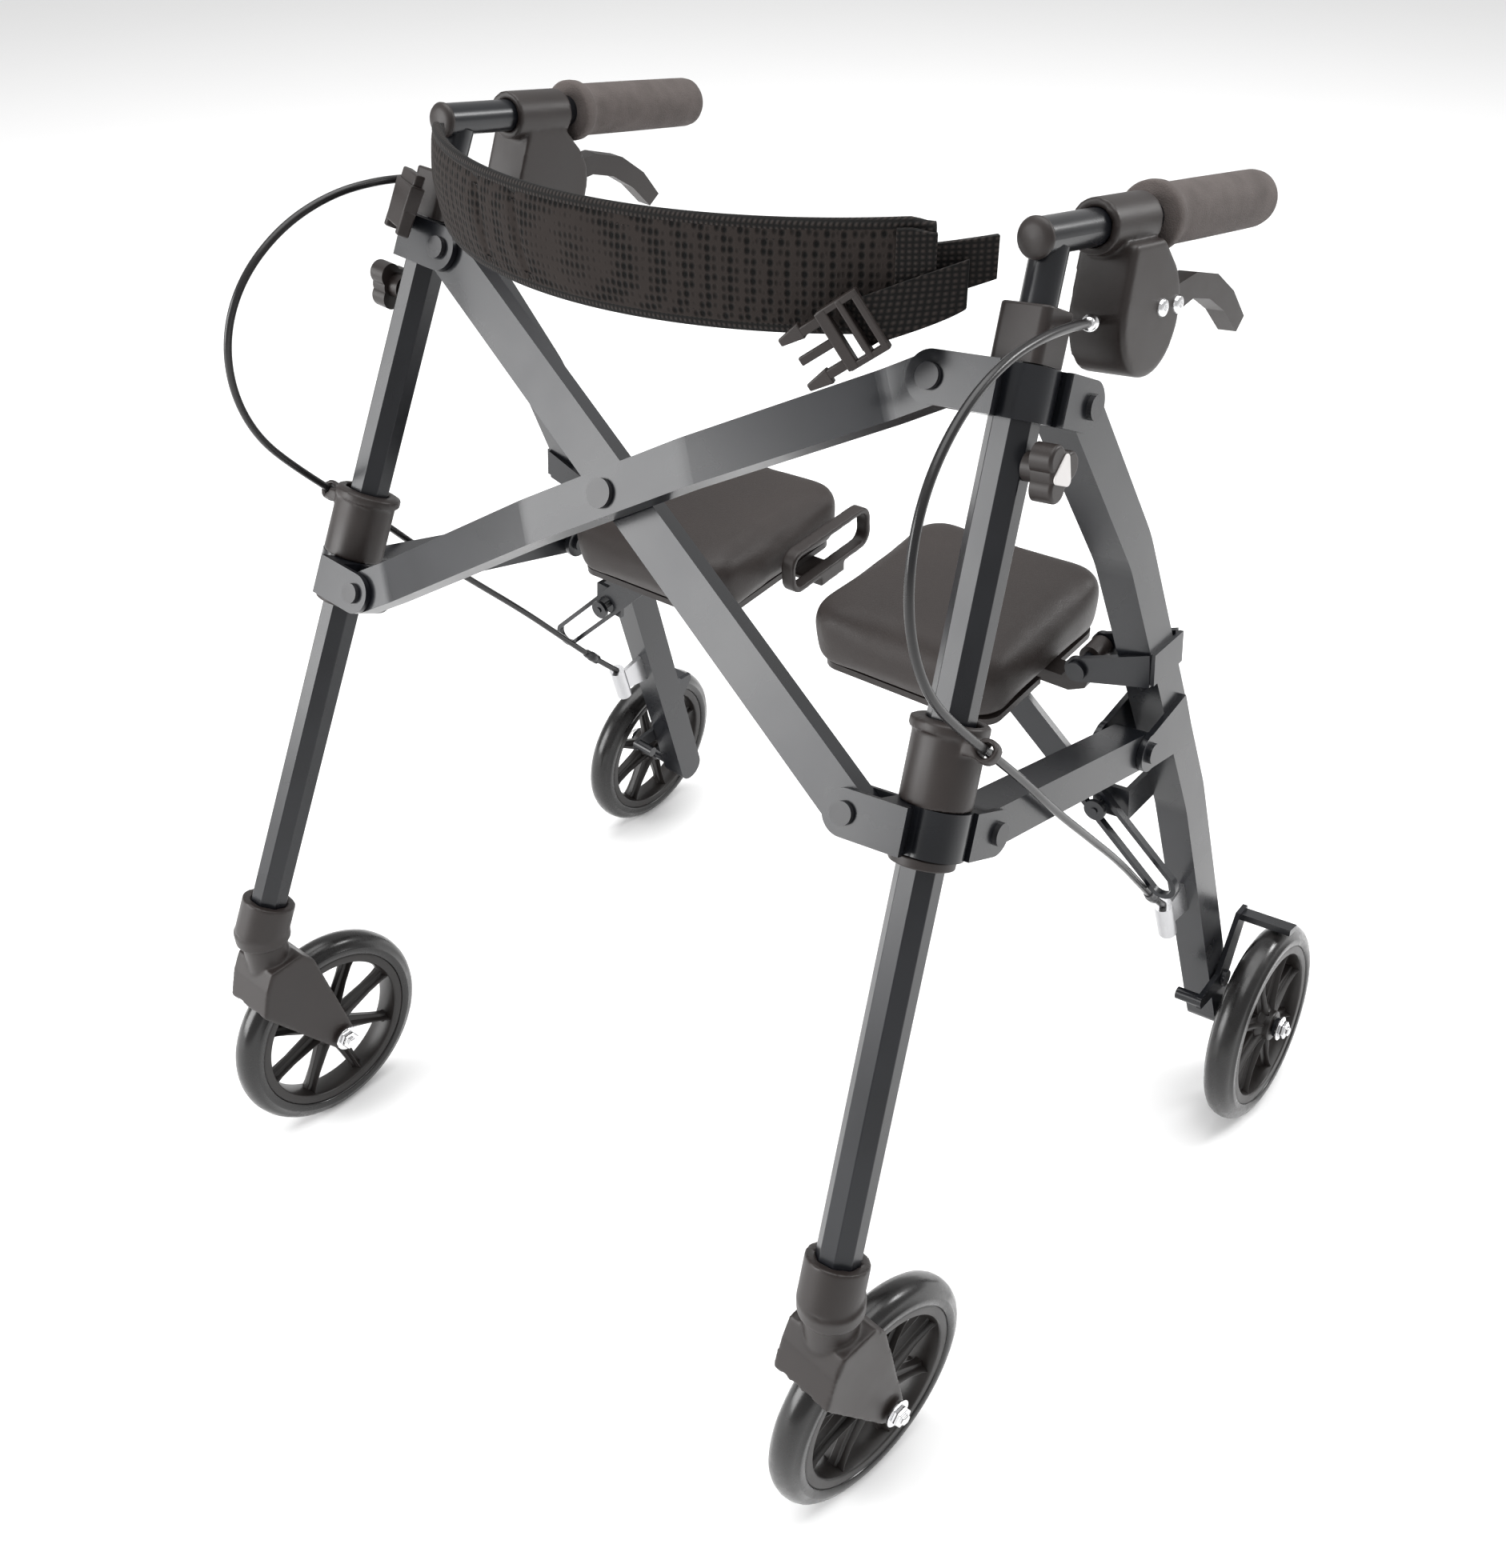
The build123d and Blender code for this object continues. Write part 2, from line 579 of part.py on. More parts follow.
REAR_HALF = LINK_WIDE / 2 + 0.25
CLEVIS_INNER = SIDE_X - REAR_HALF - SLIDER_PLAY
PACKER_HALF = 8.0
YOKE_Y = leg_y(YOKE_HEIGHT)
BOLT = SEAT_CROSS.from_local_coords(Vector(BRACE_BOLT[0], BRACE_BOLT[1], -BRACE_AT))
BOLT_Z = to_side(BOLT)[1]
BOLT_OUT = (BOLT - Vector(SIDE_X0, 0, 0)).dot(OUTBOARD)
STIRRUP_Y = BOLT.Y + 8
LOW_RUN = (Vector(*REAR_AXLE) - Vector(*REAR_BEND)).normalized()
LOW_FRONT = Vector(LOW_RUN.Y, -LOW_RUN.X)
with BuildPart() as rear_leg:
    with BuildSketch(SIDE.offset(SIDE_X - REAR_HALF)):
        with BuildLine():
            FilletPolyline(SIDE_PIN_TOP, REAR_KNEE, REAR_BEND, REAR_AXLE, radius=110)
        trace(line_width=REAR_DEPTH)
        with Locations(SIDE_PIN_TOP):
            Circle(REAR_DEPTH / 2 - 1)
        with Locations(REAR_AXLE):
            Circle(REAR_DEPTH / 2)
        with Locations(SIDE_PIN_TOP):
            Circle(PIN_R + FIT, mode=Mode.SUBTRACT)
    extrude(amount=2 * REAR_HALF)
    # seat yoke: two arms that flank the leg and reach inboard to the hinge rod
    yoke_top = side_point(SIDE_X + REAR_HALF, YOKE_Y, YOKE_HEIGHT + 12)
    yoke_low = side_point(SIDE_X + REAR_HALF, YOKE_Y, YOKE_HEIGHT - 12)
    for along in (YOKE_FRONT, YOKE_REAR):
        with BuildSketch(SEAT_CROSS.offset(-along - CHEEK)):
            with BuildLine():
                Polyline(
                    (yoke_top.X, yoke_top.Z - HINGE_Z),
                    (yoke_low.X, yoke_low.Z - HINGE_Z),
                    (HINGE_X, -YOKE_EYE_R),
                    (HINGE_X, YOKE_EYE_R),
                    (yoke_top.X, yoke_top.Z - HINGE_Z),
                )
            make_face()
            with Locations((HINGE_X, 0)):
                Circle(YOKE_EYE_R)
        extrude(amount=CHEEK)
    yoke_face = side_point(SIDE_X + REAR_HALF, YOKE_Y, YOKE_HEIGHT)
    with BuildSketch(Plane(origin=yoke_face, x_dir=(0, 1, 0), z_dir=OUTBOARD)):
        Rectangle(YOKE_REAR - YOKE_FRONT + CHEEK, 22)
    extrude(amount=3)
    with BuildSketch(SEAT_CROSS.offset(-YOKE_REAR - CHEEK - HEAD_H)):
        with Locations((HINGE_X, 0)):
            Circle(ROD_R)
    extrude(amount=YOKE_REAR - YOKE_FRONT + CHEEK + 2 * HEAD_H)
    for along in (YOKE_FRONT - HEAD_H, YOKE_REAR + CHEEK):
        with BuildSketch(SEAT_CROSS.offset(-along - HEAD_H)):
            with Locations((HINGE_X, 0)):
                Circle(HEAD_R)
        extrude(amount=HEAD_H)
    # link clevis with a rivet head on each cheek; the inner cheek stands off on a packer
    with BuildSketch(SIDE.offset(CLEVIS_INNER)):
        with BuildLine():
            Polyline(
                (leg_y(440) - PACKER_HALF, 440),
                (leg_y(440) + PACKER_HALF, 440),
                (leg_y(395) + PACKER_HALF, 395),
                (leg_y(395) - PACKER_HALF, 395),
                (leg_y(440) - PACKER_HALF, 440),
            )
        make_face()
    extrude(amount=SLIDER_PLAY + 0.5)
    for x in (CLEVIS_INNER - CHEEK, SIDE_X + REAR_HALF):
        with BuildSketch(SIDE.offset(x)):
            with Locations(LINK_REAR):
                Circle(13)
            with BuildLine():
                Polyline(
                    (LINK_REAR[0] - 6, LINK_REAR[1] + 11.5),
                    (leg_y(440) + 10, 440),
                    (leg_y(395) + 8, 395),
                    (LINK_REAR[0] + 2, LINK_REAR[1] - 12.8),
                    (LINK_REAR[0] - 6, LINK_REAR[1] + 11.5),
                )
            make_face()
        extrude(amount=CHEEK)
    for x in (CLEVIS_INNER - CHEEK - HEAD_H, SIDE_X + REAR_HALF + CHEEK):
        with BuildSketch(SIDE.offset(x)):
            with Locations(LINK_REAR):
                Circle(HEAD_R)
        extrude(amount=HEAD_H)
    # brace stirrup and its bolt
    with BuildSketch(SIDE.offset(SIDE_X - REAR_HALF - CHEEK)):
        with BuildLine():
            Polyline(
                (STIRRUP_Y, BOLT_Z - 12),
                (leg_y(BOLT_Z) + 14, BOLT_Z - 12),
                (leg_y(BOLT_Z) + 6, BOLT_Z + 12),
                (STIRRUP_Y, BOLT_Z + 12),
                (STIRRUP_Y, BOLT_Z - 12),
            )
        make_face()
    extrude(amount=CHEEK)
    with BuildSketch(Plane(origin=side_point(0, STIRRUP_Y, BOLT_Z), x_dir=OUTBOARD, z_dir=(0, 1, 0))):
        with Locations(((BOLT_OUT - 10 + SIDE_X - REAR_HALF) / 2, 0)):
            Rectangle(SIDE_X - REAR_HALF - BOLT_OUT + 10, 24)
    extrude(amount=CHEEK)
    with BuildSketch(SEAT_CROSS.offset(-BRACE_AT - 12)):
        with Locations(BRACE_BOLT):
            Circle(BRACE_PIN_R)
    extrude(amount=22)
    with BuildSketch(SEAT_CROSS.offset(-BRACE_AT + 6)):
        with Locations(BRACE_BOLT):
            Circle(HEAD_R + 1)
    extrude(amount=HEAD_H)
    # bolt that carries the brake arm
    with BuildSketch(SIDE.offset(SIDE_X)):
        with Locations(ARM_PIVOT):
            Circle(PIN_R)
    extrude(amount=ARM_IN - SIDE_X + CHEEK + 0.5 + HEAD_H)
    with BuildSketch(SIDE.offset(ARM_IN + CHEEK + 0.5)):
        with Locations(ARM_PIVOT):
            Circle(HEAD_R)
    extrude(amount=HEAD_H)
    # axle with its spacer and end nut
    with BuildSketch(SIDE.offset(SIDE_X)):
        with Locations(REAR_AXLE):
            Circle(AXLE_R)
    extrude(amount=REAR_WHEEL_X - SIDE_X + HUB_HALF + 5)
    with BuildSketch(SIDE.offset(SIDE_X)):
        with Locations(REAR_AXLE):
            Circle(10)
    extrude(amount=REAR_WHEEL_X - SIDE_X - HUB_HALF - 0.5)
    with BuildSketch(SIDE.offset(REAR_WHEEL_X + HUB_HALF + 0.5)):
        with Locations(REAR_AXLE):
            Circle(HEAD_R + 1)
    extrude(amount=4.5)

# ---------------------------------------------------------------------------
# Cable adjuster: barrel on a plate that meets the front face of the rear leg
# ---------------------------------------------------------------------------
ADJUSTER_END = Vector(*ADJUSTER_TOP) + LOW_RUN * ADJUSTER_L


def leg_face(along):
    """Point on the front face of the low run of the rear leg, in the side plane."""
    point = Vector(*REAR_BEND) + LOW_RUN * along + LOW_FRONT * (REAR_DEPTH / 2 + FIT)
    return point.X, point.Y


with BuildPart() as cable_adjuster:
    with BuildSketch(SIDE.offset(SIDE_X - 2)):
        with BuildLine():
            Polyline(
                leg_face(92),
                leg_face(124),
                (ADJUSTER_END.X + 2, ADJUSTER_END.Y + 6),
                (ADJUSTER_TOP[0] + 4, ADJUSTER_TOP[1] - 6),
                leg_face(92),
            )
        make_face()
    extrude(amount=4)
    top = side_point(SIDE_X, *ADJUSTER_TOP)
    barrel_dir = side_point(SIDE_X, ADJUSTER_END.X, ADJUSTER_END.Y) - top
    with BuildSketch(Plane(origin=top, x_dir=OUTBOARD, z_dir=barrel_dir)):
        Circle(ADJUSTER_R)
    extrude(amount=ADJUSTER_L)

# ---------------------------------------------------------------------------
# Brake arm: plate on the leg, shoe across the tyre and an ear for the cable
# ---------------------------------------------------------------------------
with BuildPart() as brake_arm:
    with BuildSketch(SIDE.offset(ARM_IN)):
        with Locations(ARM_PIVOT):
            Circle(11)
        with BuildLine():
            Polyline(
                (ARM_PIVOT[0] - 9, ARM_PIVOT[1] + 6),
                (ARM_PIVOT[0] + 8, ARM_PIVOT[1] - 7),
                (SHOE_AT[0] + 6, SHOE_AT[1] - 3),
                (SHOE_AT[0] + 6, SHOE_AT[1] + 5),
                (SHOE_AT[0] - 8, SHOE_AT[1] + 5),
                (ARM_PIVOT[0] - 9, ARM_PIVOT[1] + 6),
            )
        make_face()
        with BuildLine():
            Polyline(
                (ARM_PIVOT[0], ARM_PIVOT[1] + 8),
                (ARM_PIVOT[0] - 40, ARM_PIVOT[1] + 5),
                (ARM_PIVOT[0] - 40, ARM_PIVOT[1] - 6),
                (ARM_PIVOT[0], ARM_PIVOT[1] - 9),
                (ARM_PIVOT[0], ARM_PIVOT[1] + 8),
            )
        make_face()
    extrude(amount=CHEEK)
    with BuildSketch(SIDE.offset(ARM_IN)):
        with Locations(SHOE_AT):
            Rectangle(14, 5, rotation=-11)
    extrude(amount=REAR_WHEEL_X + TYRE_HALF + 1.5 - ARM_IN)
    with BuildSketch(SIDE.offset(SIDE_X - 5)):
        with Locations((ARM_PIVOT[0] - 37, ARM_PIVOT[1])):
            Circle(5)
    extrude(amount=ARM_IN - SIDE_X + 5 + CHEEK)
    with BuildSketch(SIDE.offset(ARM_IN)):
        with Locations(ARM_PIVOT):
            Circle(PIN_R + FIT)
    extrude(amount=CHEEK, mode=Mode.SUBTRACT)

# ---------------------------------------------------------------------------
# Seat half: pan with its hinge knuckle and brace lugs, cushion, brace
# ---------------------------------------------------------------------------
with BuildPart() as seat_pan:
    with BuildSketch(SEAT.offset(PAN_LOW)):
        with Locations(((PAN_IN + PAN_OUT) / 2, 0)):
            RectangleRounded(PAN_OUT - PAN_IN, 2 * PAN_HALF_D, 14)
        with Locations((BRACE_PIVOT[0] + 20, BRACE_AT)):
            Rectangle(60, 10, mode=Mode.SUBTRACT)
    extrude(amount=CUSHION_LOW - FIT - PAN_LOW)
    with BuildSketch(SEAT_CROSS.offset(-KNUCKLE_TO)):
        with Locations((HINGE_X, 0)):
            Circle(KNUCKLE_R)
        with BuildLine():
            Polyline(
                (HINGE_X - 7, -3),
                (HINGE_X + 7.5, -2),
                (HINGE_X - 2, -26),
                (HINGE_X - 14, -32),
                (HINGE_X - 46, -32),
                (HINGE_X - 46, PAN_LOW + 1),
                (PAN_OUT - 4, CUSHION_LOW - FIT),
                (CUSHION_OUT + 6, CUSHION_LOW),
                (HINGE_X - 7, -3),
            )
        make_face()
        with Locations((HINGE_X, 0)):
            Circle(ROD_R + FIT, mode=Mode.SUBTRACT)
    extrude(amount=KNUCKLE_TO - KNUCKLE_FROM)
    for along in (BRACE_AT - 9, BRACE_AT + 5):
        with BuildSketch(SEAT_CROSS.offset(-along - CHEEK)):
            with Locations(BRACE_PIVOT):
                Circle(8)
            with Locations((BRACE_PIVOT[0], (BRACE_PIVOT[1] + PAN_LOW) / 2)):
                Rectangle(16, PAN_LOW - BRACE_PIVOT[1])
        extrude(amount=CHEEK)
    with BuildSketch(SEAT_CROSS.offset(-BRACE_AT - 9)):
        with Locations(BRACE_PIVOT):
            Circle(BRACE_PIN_R)
    extrude(amount=18)

with BuildPart() as cushion:
    with BuildSketch(SEAT.offset(CUSHION_LOW)):
        with Locations(((CUSHION_IN + CUSHION_OUT) / 2, 0)):
            RectangleRounded(CUSHION_OUT - CUSHION_IN, 2 * CUSHION_HALF_D, 22)
    extrude(amount=CUSHION_HIGH - CUSHION_LOW)
    fillet(cushion.faces().sort_by(Axis((0, 0, 0), SEAT_UP))[-1].edges(), radius=14)
    with BuildSketch(SEAT_CROSS.offset(-BRACE_AT - 5)):
        with Locations((CUSHION_OUT, CUSHION_LOW)):
            Rectangle(2 * (CUSHION_OUT - BRACE_PIVOT[0] + 12), 2 * GROOVE_DEPTH)
    extrude(amount=10, mode=Mode.SUBTRACT)

BRACE_TOP = SEAT_CROSS.from_local_coords(Vector(*BRACE_PIVOT))
BRACE_LOW = SEAT_CROSS.from_local_coords(Vector(*BRACE_BOLT))
BRACE_PLANE = Plane(
    origin=SEAT_CROSS.from_local_coords(Vector(*BRACE_PIVOT, -BRACE_AT - BRACE_T / 2)),
    x_dir=BRACE_LOW - BRACE_TOP,
    z_dir=-SEAT_BACK,
)
with BuildPart() as seat_brace:
    with BuildSketch(BRACE_PLANE):
        with Locations((BRACE_SLOT_TO / 2, 0)):
            SlotCenterToCenter(BRACE_SLOT_TO, 2 * BRACE_HALF_W)
        Circle(BRACE_PIN_R + FIT, mode=Mode.SUBTRACT)
        with Locations(((BRACE_SLOT_FROM + BRACE_SLOT_TO) / 2, 0)):
            SlotCenterToCenter(BRACE_SLOT_TO - BRACE_SLOT_FROM, 2 * BRACE_SLOT_HALF, mode=Mode.SUBTRACT)
    extrude(amount=BRACE_T)

# ---------------------------------------------------------------------------
# Scissor bars with the centre bolt
# ---------------------------------------------------------------------------
CENTRE = Vector(0, CENTRE_U)
BAR_REAR = BAR_MID_N - BAR_THICK / 2
BAR_FRONT = BAR_MID_N + BAR_THICK / 2


def bar_outline(side):
    """Long face of a bar from its top pin on one side to its low pin on the other."""
    tilt = degrees(OPEN_ANGLE)
    middle = ((side * TOP_X - side * LOW_X) / 2, (TOP_U + LOW_U) / 2)
    with Locations(middle):
        SlotCenterToCenter(ARM_UP + ARM_LOW, BAR_WIDE, rotation=side * tilt)


def bar_holes(side):
    """Holes for the two pins and the centre bolt."""
    with Locations((side * TOP_X, TOP_U), (-side * LOW_X, LOW_U), (0, CENTRE_U)):
        Circle(PIN_R + FIT, mode=Mode.SUBTRACT)


with BuildPart() as bar_a:
    with BuildSketch(SCISSOR.offset(BAR_REAR)):
        bar_outline(-1)
        bar_holes(-1)
    extrude(amount=BAR_THICK)

BAR_B_TOP = SCISSOR.from_local_coords(Vector(TOP_X, TOP_U))
BAR_B_RUN = (BAR_B_TOP - SCISSOR.from_local_coords(CENTRE)).normalized()
BAR_B_SIDE = Plane(
    origin=SCISSOR.from_local_coords(CENTRE),
    x_dir=BAR_B_RUN,
    z_dir=BAR_B_RUN.cross(FRONTAL),
)
with BuildPart() as bar_b:
    with BuildSketch(BAR_B_SIDE.offset(-BAR_WIDE / 2)):
        with BuildLine():
            FilletPolyline(
                (ARM_UP + BAR_WIDE / 2, BAR_MID_N),
                (ARM_UP - 30, BAR_MID_N),
                (BOW_FLAT, BAR_MID_N + BAR_BOW),
                (-BOW_FLAT, BAR_MID_N + BAR_BOW),
                (30 - ARM_LOW, BAR_MID_N),
                (-ARM_LOW - BAR_WIDE / 2, BAR_MID_N),
                radius=60,
            )
        trace(line_width=BAR_THICK)
    extrude(amount=BAR_WIDE)
    with BuildSketch(SCISSOR.offset(BAR_REAR - 5)):
        bar_outline(1)
        bar_holes(1)
    extrude(amount=60, mode=Mode.INTERSECT)

with BuildPart() as centre_bolt:
    bolt_back = BAR_REAR - HEAD_H
    with BuildSketch(SCISSOR.offset(bolt_back)):
        with Locations((0, CENTRE_U)):
            Circle(PIN_R)
    extrude(amount=BAR_THICK + BAR_THICK + 2 + 2 * HEAD_H)
    for n, radius, height in (
        (bolt_back, 9, HEAD_H),
        (BAR_FRONT + FIT, 8, 2 - 2 * FIT),
        (BAR_FRONT + 2 + BAR_THICK, 9, HEAD_H),
    ):
        with BuildSketch(SCISSOR.offset(n)):
            with Locations((0, CENTRE_U)):
                Circle(radius)
        extrude(amount=height)

# ---------------------------------------------------------------------------
# Back strap between the handle fronts, its buckle, and the seat pull loop
# ---------------------------------------------------------------------------
with BuildPart() as backrest:
    with BuildSketch(Plane.XY.offset(BAND_LOW)):
        with BuildLine():
            ThreePointArc((-BAND_END[0], BAND_END[1]), (0, BAND_MID_Y), BAND_END)
        trace(line_width=BAND_T)
    extrude(amount=BAND_TOP - BAND_LOW)

with BuildPart() as buckle_male:
    with BuildSketch(Plane(origin=(162, -108, BAND_LOW - 16), x_dir=(0.77, 0.64, 0), z_dir=(0, 0, 1))):
        RectangleRounded(40, 8, 3)
    extrude(amount=14)

with BuildPart() as seat_pull:
    pull_plane = Plane(
        origin=SEAT.origin + Vector(PULL_X - PULL_W / 2, 0, 0),
        x_dir=SEAT_BACK,
        z_dir=(1, 0, 0),
    )
    with BuildSketch(pull_plane):
        with Locations((32, -6)):
            RectangleRounded(100, 34, 12)
            RectangleRounded(100 - 2 * PULL_T, 34 - 2 * PULL_T, 8, mode=Mode.SUBTRACT)
        with Locations((32, -25)):
            Rectangle(30, 12)
    extrude(amount=PULL_W)
    with BuildSketch(SEAT.offset(PAN_LOW - 4)):
        with Locations((PULL_X - 20, 32)):
            Rectangle(40, 30)
    extrude(amount=4 - FIT)
    with BuildSketch(pull_plane):
        with Locations((32, -6)):
            RectangleRounded(100 - 2 * PULL_T, 34 - 2 * PULL_T, 8)
    extrude(amount=PULL_W, mode=Mode.SUBTRACT)

# ---------------------------------------------------------------------------
# Brake cable: from the housing round the front to the slider eye, then to the adjuster
# ---------------------------------------------------------------------------
CABLE_UPPER = (
    (5, 12.2, 717),
    (15, -10, 723),
    (22, -41, 731),
    (25, -78, 736),
    (26, -118, 735),
    (27, -157, 723),
    (28, -189, 699),
    (29, -206, 667),
    (29, -208, 630),
    (29, -195, 593),
    (29, -169, 561),
    (29, -139, 531),
)
CABLE_LOWER = (
    (29, -138.7, 530.7),
    (28.5, -104, 496),
    (27, -62, 450),
    (25, -14, 402),
    (21, 36, 353),
    (16, 80, 306),
    (11, 114, 270),
    (8, 140, 246),
)


def cable_tube(route):
    """Cable housing along straight runs and tangent arcs."""
    points = [side_point(*point) for point in route]
    runs = [b - a for a, b in zip(points, points[1:])]
    radii = []
    for before, after in zip(runs, runs[1:]):
        turn = radians(before.get_angle(after))
        radii.append(0.45 * min(before.length, after.length) / tan(turn / 2))
    with BuildPart() as tube:
        with BuildLine():
            path = FilletPolyline(*points, radius=radii)
        with BuildSketch(Plane(origin=points[0], z_dir=runs[0])):
            Circle(CABLE_R)
        sweep(path=path)
    return tube.part


cable_upper = cable_tube(CABLE_UPPER)
cable_lower = cable_tube(CABLE_LOWER)

# ---------------------------------------------------------------------------
# Write every piece: right-hand ones in place, left-hand ones mirrored
# ---------------------------------------------------------------------------
os.makedirs("parts", exist_ok=True)


def write(piece, name):
    """Label one piece and write it."""
    piece.label = name
    export_step(piece, f"parts/{name}.step")


PAIRS = {
    "leg_tube": leg_tube.part,
    "top_bracket": top_bracket,
    "leg_pins": leg_pins,
    "stem_collar": stem_collar.part,
    "caster_socket": caster_socket.part,
    "height_knob": height_knob.part,
    "handle_tube": handle_tube.part,
    "grip": grip.part,
    "brake_housing": brake_housing.part,
    "brake_lever": brake_lever.part,
    "slider_bracket": slider_bracket,
    "slider_pins": slider_pins,
    "slider_sleeve": slider_sleeve.part,
    "side_link": side_link.part,
    "rear_leg": rear_leg.part,
    "cable_adjuster": cable_adjuster.part,
    "brake_arm": brake_arm.part,
    "seat_pan": seat_pan.part,
    "cushion": cushion.part,
    "seat_brace": seat_brace.part,
    "rear_hub": rear_hub,
    "rear_tyre": rear_tyre,
    "cable_upper": cable_upper,
    "cable_lower": cable_lower,
}
CASTER_PAIRS = {
    "caster_fork": caster_fork.part,
    "front_hub": front_hub,
    "front_tyre": front_tyre,
}
SINGLES = {
    "bar_a": bar_a.part,
    "bar_b": bar_b.part,
    "centre_bolt": centre_bolt.part,
    "backrest": backrest.part,
    "buckle_male": buckle_male.part,
    "seat_pull": seat_pull.part,
}
for name, piece in PAIRS.items():
    write(piece, f"{name}_r")
    write(mirror(piece, about=Plane.YZ), f"{name}_l")
SWIVEL_AXIS = Axis((SWIVEL[0], SWIVEL[1], 0), (0, 0, 1))
for name, piece in CASTER_PAIRS.items():
    write(piece.rotate(SWIVEL_AXIS, CASTER_TURN_R), f"{name}_r")
    write(mirror(piece.rotate(SWIVEL_AXIS, -CASTER_TURN_L), about=Plane.YZ), f"{name}_l")
for name, piece in SINGLES.items():
    write(piece, name)
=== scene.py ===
import json
import math

import bmesh
import bpy
from mathutils import Matrix, Vector, noise


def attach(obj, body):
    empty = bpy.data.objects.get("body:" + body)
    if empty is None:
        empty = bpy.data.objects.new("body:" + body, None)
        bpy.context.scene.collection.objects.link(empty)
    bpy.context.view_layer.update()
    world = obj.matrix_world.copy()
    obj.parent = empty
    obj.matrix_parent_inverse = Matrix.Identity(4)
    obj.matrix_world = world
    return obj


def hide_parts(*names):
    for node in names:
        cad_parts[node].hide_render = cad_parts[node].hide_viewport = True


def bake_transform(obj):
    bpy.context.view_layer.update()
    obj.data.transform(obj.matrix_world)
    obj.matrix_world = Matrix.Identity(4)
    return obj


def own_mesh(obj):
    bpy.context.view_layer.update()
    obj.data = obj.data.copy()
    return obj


# ---------------------------------------------------------------------------
# Folding four-wheel walker: the looks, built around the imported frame. Metres.
# Places come from the frame's joints and mounts; sizes below are millimetres.
# Every paired piece is built for the right-hand side and mirrored for the left.
# ---------------------------------------------------------------------------
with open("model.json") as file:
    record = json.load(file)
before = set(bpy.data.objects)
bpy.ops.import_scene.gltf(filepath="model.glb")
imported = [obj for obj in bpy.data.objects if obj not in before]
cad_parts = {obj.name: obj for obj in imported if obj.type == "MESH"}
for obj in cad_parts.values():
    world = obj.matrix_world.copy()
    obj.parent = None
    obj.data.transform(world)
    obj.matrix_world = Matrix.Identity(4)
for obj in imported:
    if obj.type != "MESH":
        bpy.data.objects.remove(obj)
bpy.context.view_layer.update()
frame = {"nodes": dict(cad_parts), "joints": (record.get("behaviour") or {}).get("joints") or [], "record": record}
MM = 0.001
JOINTS = {joint["name"]: joint for joint in frame["joints"]}
MOUNTS = {mount["name"]: mount for mount in frame["record"]["mounts"]}


def place(joint):
    """Pivot of a joint."""
    return Vector(JOINTS[joint]["pos_m"])


def axis(joint):
    """Unit axis of a joint."""
    return Vector(JOINTS[joint]["axis"]).normalized()


# ---------------------------------------------------------------------------
# Frames of the right-hand side, the right leg, the handle and the seat
# ---------------------------------------------------------------------------
OUT = axis("rear_wheel_r_spin")
REARWARD = Vector((0, 1, 0))
UPRIGHT = OUT.cross(REARWARD)
SIDE_X = 8.0
SIDE_ORIGIN = Vector(((place("rear_leg_r_swing").dot(OUT) - SIDE_X * MM) / OUT.x, 0, 0))
LEG_UP = axis("handle_r_height")
LEG_BACK = LEG_UP.cross(OUT)
KNOB_V = 484.0
KNOB_X = 13.05
GRIP_MIDDLE = 186.5
FOOT = place("knob_r_turn") - OUT * KNOB_X * MM - LEG_UP * KNOB_V * MM
HANDLE_RUN = Vector(MOUNTS["grip_right"]["axis"]).normalized()
HANDLE_START = Vector(MOUNTS["grip_right"]["pos_m"]) - HANDLE_RUN * GRIP_MIDDLE * MM
HANDLE_ACROSS = HANDLE_RUN.cross(Vector((0, 0, 1))).normalized()
HANDLE_OVER = HANDLE_ACROSS.cross(HANDLE_RUN)
SEAT_UP = Vector(MOUNTS["seat_top_right"]["axis"]).normalized()
SEAT_BACK = axis("seat_r_lift")


def side(x, y, z):
    """Point of the right side frame: outboard, rearward, up along the tilted side."""
    return SIDE_ORIGIN + (OUT * x + REARWARD * y + UPRIGHT * z) * MM


def leg(x, rear, up):
    """Point of the right leg's frame: outboard, square to the leg, along the leg."""
    return FOOT + (OUT * x + LEG_BACK * rear + LEG_UP * up) * MM


def handle(along, across=0.0, up=0.0):
    """Point on the right handle, measured from its front end."""
    return HANDLE_START + (HANDLE_RUN * along + HANDLE_ACROSS * across + HANDLE_OVER * up) * MM


# ---------------------------------------------------------------------------
# Camera
# ---------------------------------------------------------------------------
CAMERA_AT = Vector((0.6073, -0.7542, 1.0031))
CAMERA_AZIMUTH = math.radians(39.185)
CAMERA_ELEVATION = math.radians(34.964)
CAMERA_ROLL = math.radians(-0.895)
CAMERA_SENSOR = 36.0
CAMERA_LENS = 37.56
CAMERA_SHIFT = (0.0035, -0.0079)
CAMERA_NEAR = 0.05


